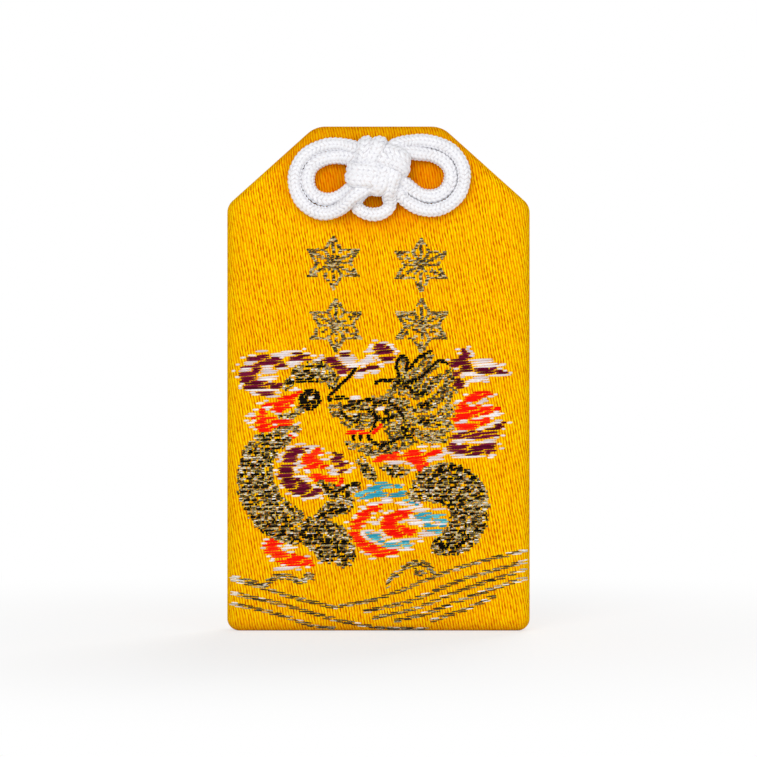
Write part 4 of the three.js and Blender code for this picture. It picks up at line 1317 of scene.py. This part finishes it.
def weft_yarn(name, tones, metallic=0.0, roughness=0.5, shine=0.2, grain=2600.0):
    """A weft yarn whose floats differ a little, with painted glints and fine filaments along them."""
    material, tree, shader = finish_of(name, metallic=metallic, specular_ior_level=shine)
    dark, middle, light = (tone(*each) for each in tones)
    where = tree.place()
    filament = tree.noise(tree.stretched(where, (0.12, 1.0, 1.0)), 9000.0)
    glint = tree.noise(where, grain, 1.0)
    tint = tree.attribute("tint")
    lower = tree.mix(tint.above(0.0, 0.5), dark, middle)
    # The light tone, where the float's tint and the glint noise are high, is partly the yarn's own uneven
    # tone and partly painted glints
    colour = tree.mix((tint * 0.6 + glint * 0.7).above(0.62, 0.98), lower, light)
    feed(tree, shader, base_color=colour, roughness=roughness + filament * 0.25 - 0.12,
         normal=tree.bump(filament, 0.4, 0.04))
    return material


# Each yarn's dark, middle and light tones (the light one partly painted glints), how metallic, rough and
# shiny it is, and gold's finer painted glints
YARN_FINISH = {
    GOLD: (((30, 24, 10), (76, 63, 32), (214, 200, 154)), 0.3, 0.42, 0.2, 5600.0),
    BLACK: (((4, 3, 3), (9, 7, 6), (24, 20, 16)), 0.0, 0.7, 0.03),
    MAROON: (((72, 2, 26), (92, 4, 36), (120, 18, 54)), 0.0, 0.6, 0.05),
    IVORY: (((212, 198, 200), (230, 218, 216), (246, 240, 238)),),
    RED: (((240, 12, 1), (252, 20, 2), (255, 46, 14)), 0.0, 0.6, 0.05),
    TURQUOISE: (((22, 140, 168), (44, 166, 190), (112, 200, 208)),),
    DARK: (((5, 4, 3), (14, 11, 7), (52, 42, 22)), 0.0, 0.6, 0.04),
    SILVER: (((176, 168, 150), (226, 222, 212), (252, 251, 248)), 0.2, 0.4),
}


# Seam threads and the pieces inside

THREAD_TONES = ((196, 120, 6), (226, 152, 10), (244, 184, 40))
THREAD = 0.3
STITCH_PITCH = 1.25
STITCH_REACH = 1.15
STITCH_TILT = 0.55


def seam_stitches(side):
    """Ladder stitches across the groove of one side, from the fold up to the shoulder."""
    chooser = np.random.default_rng(23 + side)
    across = side * (POUCH_WIDTH / 2 - GROOVE_DEPTH + 0.12)
    stitches = []
    shoulder = POUCH_HEIGHT - SHOULDER_DROP
    for index, z in enumerate(np.arange(FOLD_HEIGHT + 1.2, shoulder - 1.6, STITCH_PITCH)):
        tilt = STITCH_TILT if index % 2 else -STITCH_TILT
        turned = (tilt + chooser.uniform(-0.12, 0.12), 0.0, math.pi / 2)
        stitches.append(((across, 0.0, z), turned, STITCH_REACH, chooser.random()))
    return stitches


def fibrous(name, dark, light, scale, stretch, depth, roughness):
    """A dull fibrous board, paper or wood, with its grain drawn out along one way."""
    material, tree, shader = finish_of(name, specular_ior_level=0.2)
    where = tree.place()
    grain = tree.noise(tree.stretched(where, stretch), scale, 4.0)
    cloud = tree.noise(where, 120.0)
    colour = tree.mix((grain * 0.7 + cloud * 0.3).above(0.32, 0.68), tone(*dark), tone(*light))
    feed(tree, shader, base_color=colour, roughness=grain * 0.2 + roughness,
         normal=tree.bump(grain, 0.3, depth))
    return material


def dress_inside():
    """Card, paper and wood finishes for the solids inside the pouch."""
    board = fibrous("grey_board", (166, 154, 132), (196, 186, 166), 1800.0, (1, 1, 1), 0.05, 0.75)
    paper = fibrous("white_paper", (234, 230, 220), (248, 246, 240), 1400.0, (1, 1, 0.4), 0.02, 0.75)
    wood = fibrous("pale_wood", (198, 160, 110), (226, 194, 148), 900.0, (1, 1, 0.05), 0.03, 0.6)
    for node, material in (("front_card", board), ("rear_card", board), ("slip_wrapper", paper),
                           ("wooden_slip", wood)):
        wear(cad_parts[node].data, material)


def settle_piece(piece, body, slot, *nodes):
    """Attaches a piece to the body that it moves with and hides the nodes that it stands for; the slot is
    not used.
    """
    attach(piece, body)
    if nodes:
        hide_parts(*nodes)


def build():
    set_camera()
    braid = white_braid()
    loop_curve = SmoothCurve(hanging_route())
    loop, loop_path = braided_cord("hanging_cord", loop_curve, braid)
    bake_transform(loop)
    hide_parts("hanging_loop")
    [tuple(point) for point in loop_path * MM]
    knot_curve = settle(knot_route())
    knot, _ = braided_cord("crown_knot", knot_curve, braid, squeezed=True, trim=KNOT_TRIM)
    settle_piece(knot, "pouch", "braided_cord", "knot_cord")

    set_light()
    lay_floor()

    pouch = brocade_pouch(yellow_satin())
    settle_piece(pouch, "pouch", "brocade", "brocade_pouch")

    group = weft_float_tree()
    loom = Loom()
    for x, z in STAR_PLACES:
        hemp_leaf(loom, x, z)
    weave_dragon(loom)
    waves = wave_floats(loom)
    for yarn, points in weft_runs(loom).items():
        name = YARNS[yarn] + "_weft"
        width, loft, taper = FLOAT_SHAPE.get(yarn, COMMON_SHAPE)
        piece = grown(name, points + waves.get(yarn, []), group, width=width * MM, loft=loft * MM,
                      taper=taper, yarn=weft_yarn(name, *YARN_FINISH[yarn]))
        settle_piece(piece, "pouch", "brocade")

    thread = weft_yarn("seam_thread", THREAD_TONES)
    for side, name in ((-1, "left_seam_thread"), (1, "right_seam_thread")):
        piece = grown(name + "_stitches", seam_stitches(side), group, width=THREAD * MM, loft=THREAD * MM,
                      taper=-0.3, yarn=thread)
        settle_piece(piece, "pouch", "sewing_thread", name)
    dress_inside()


build()
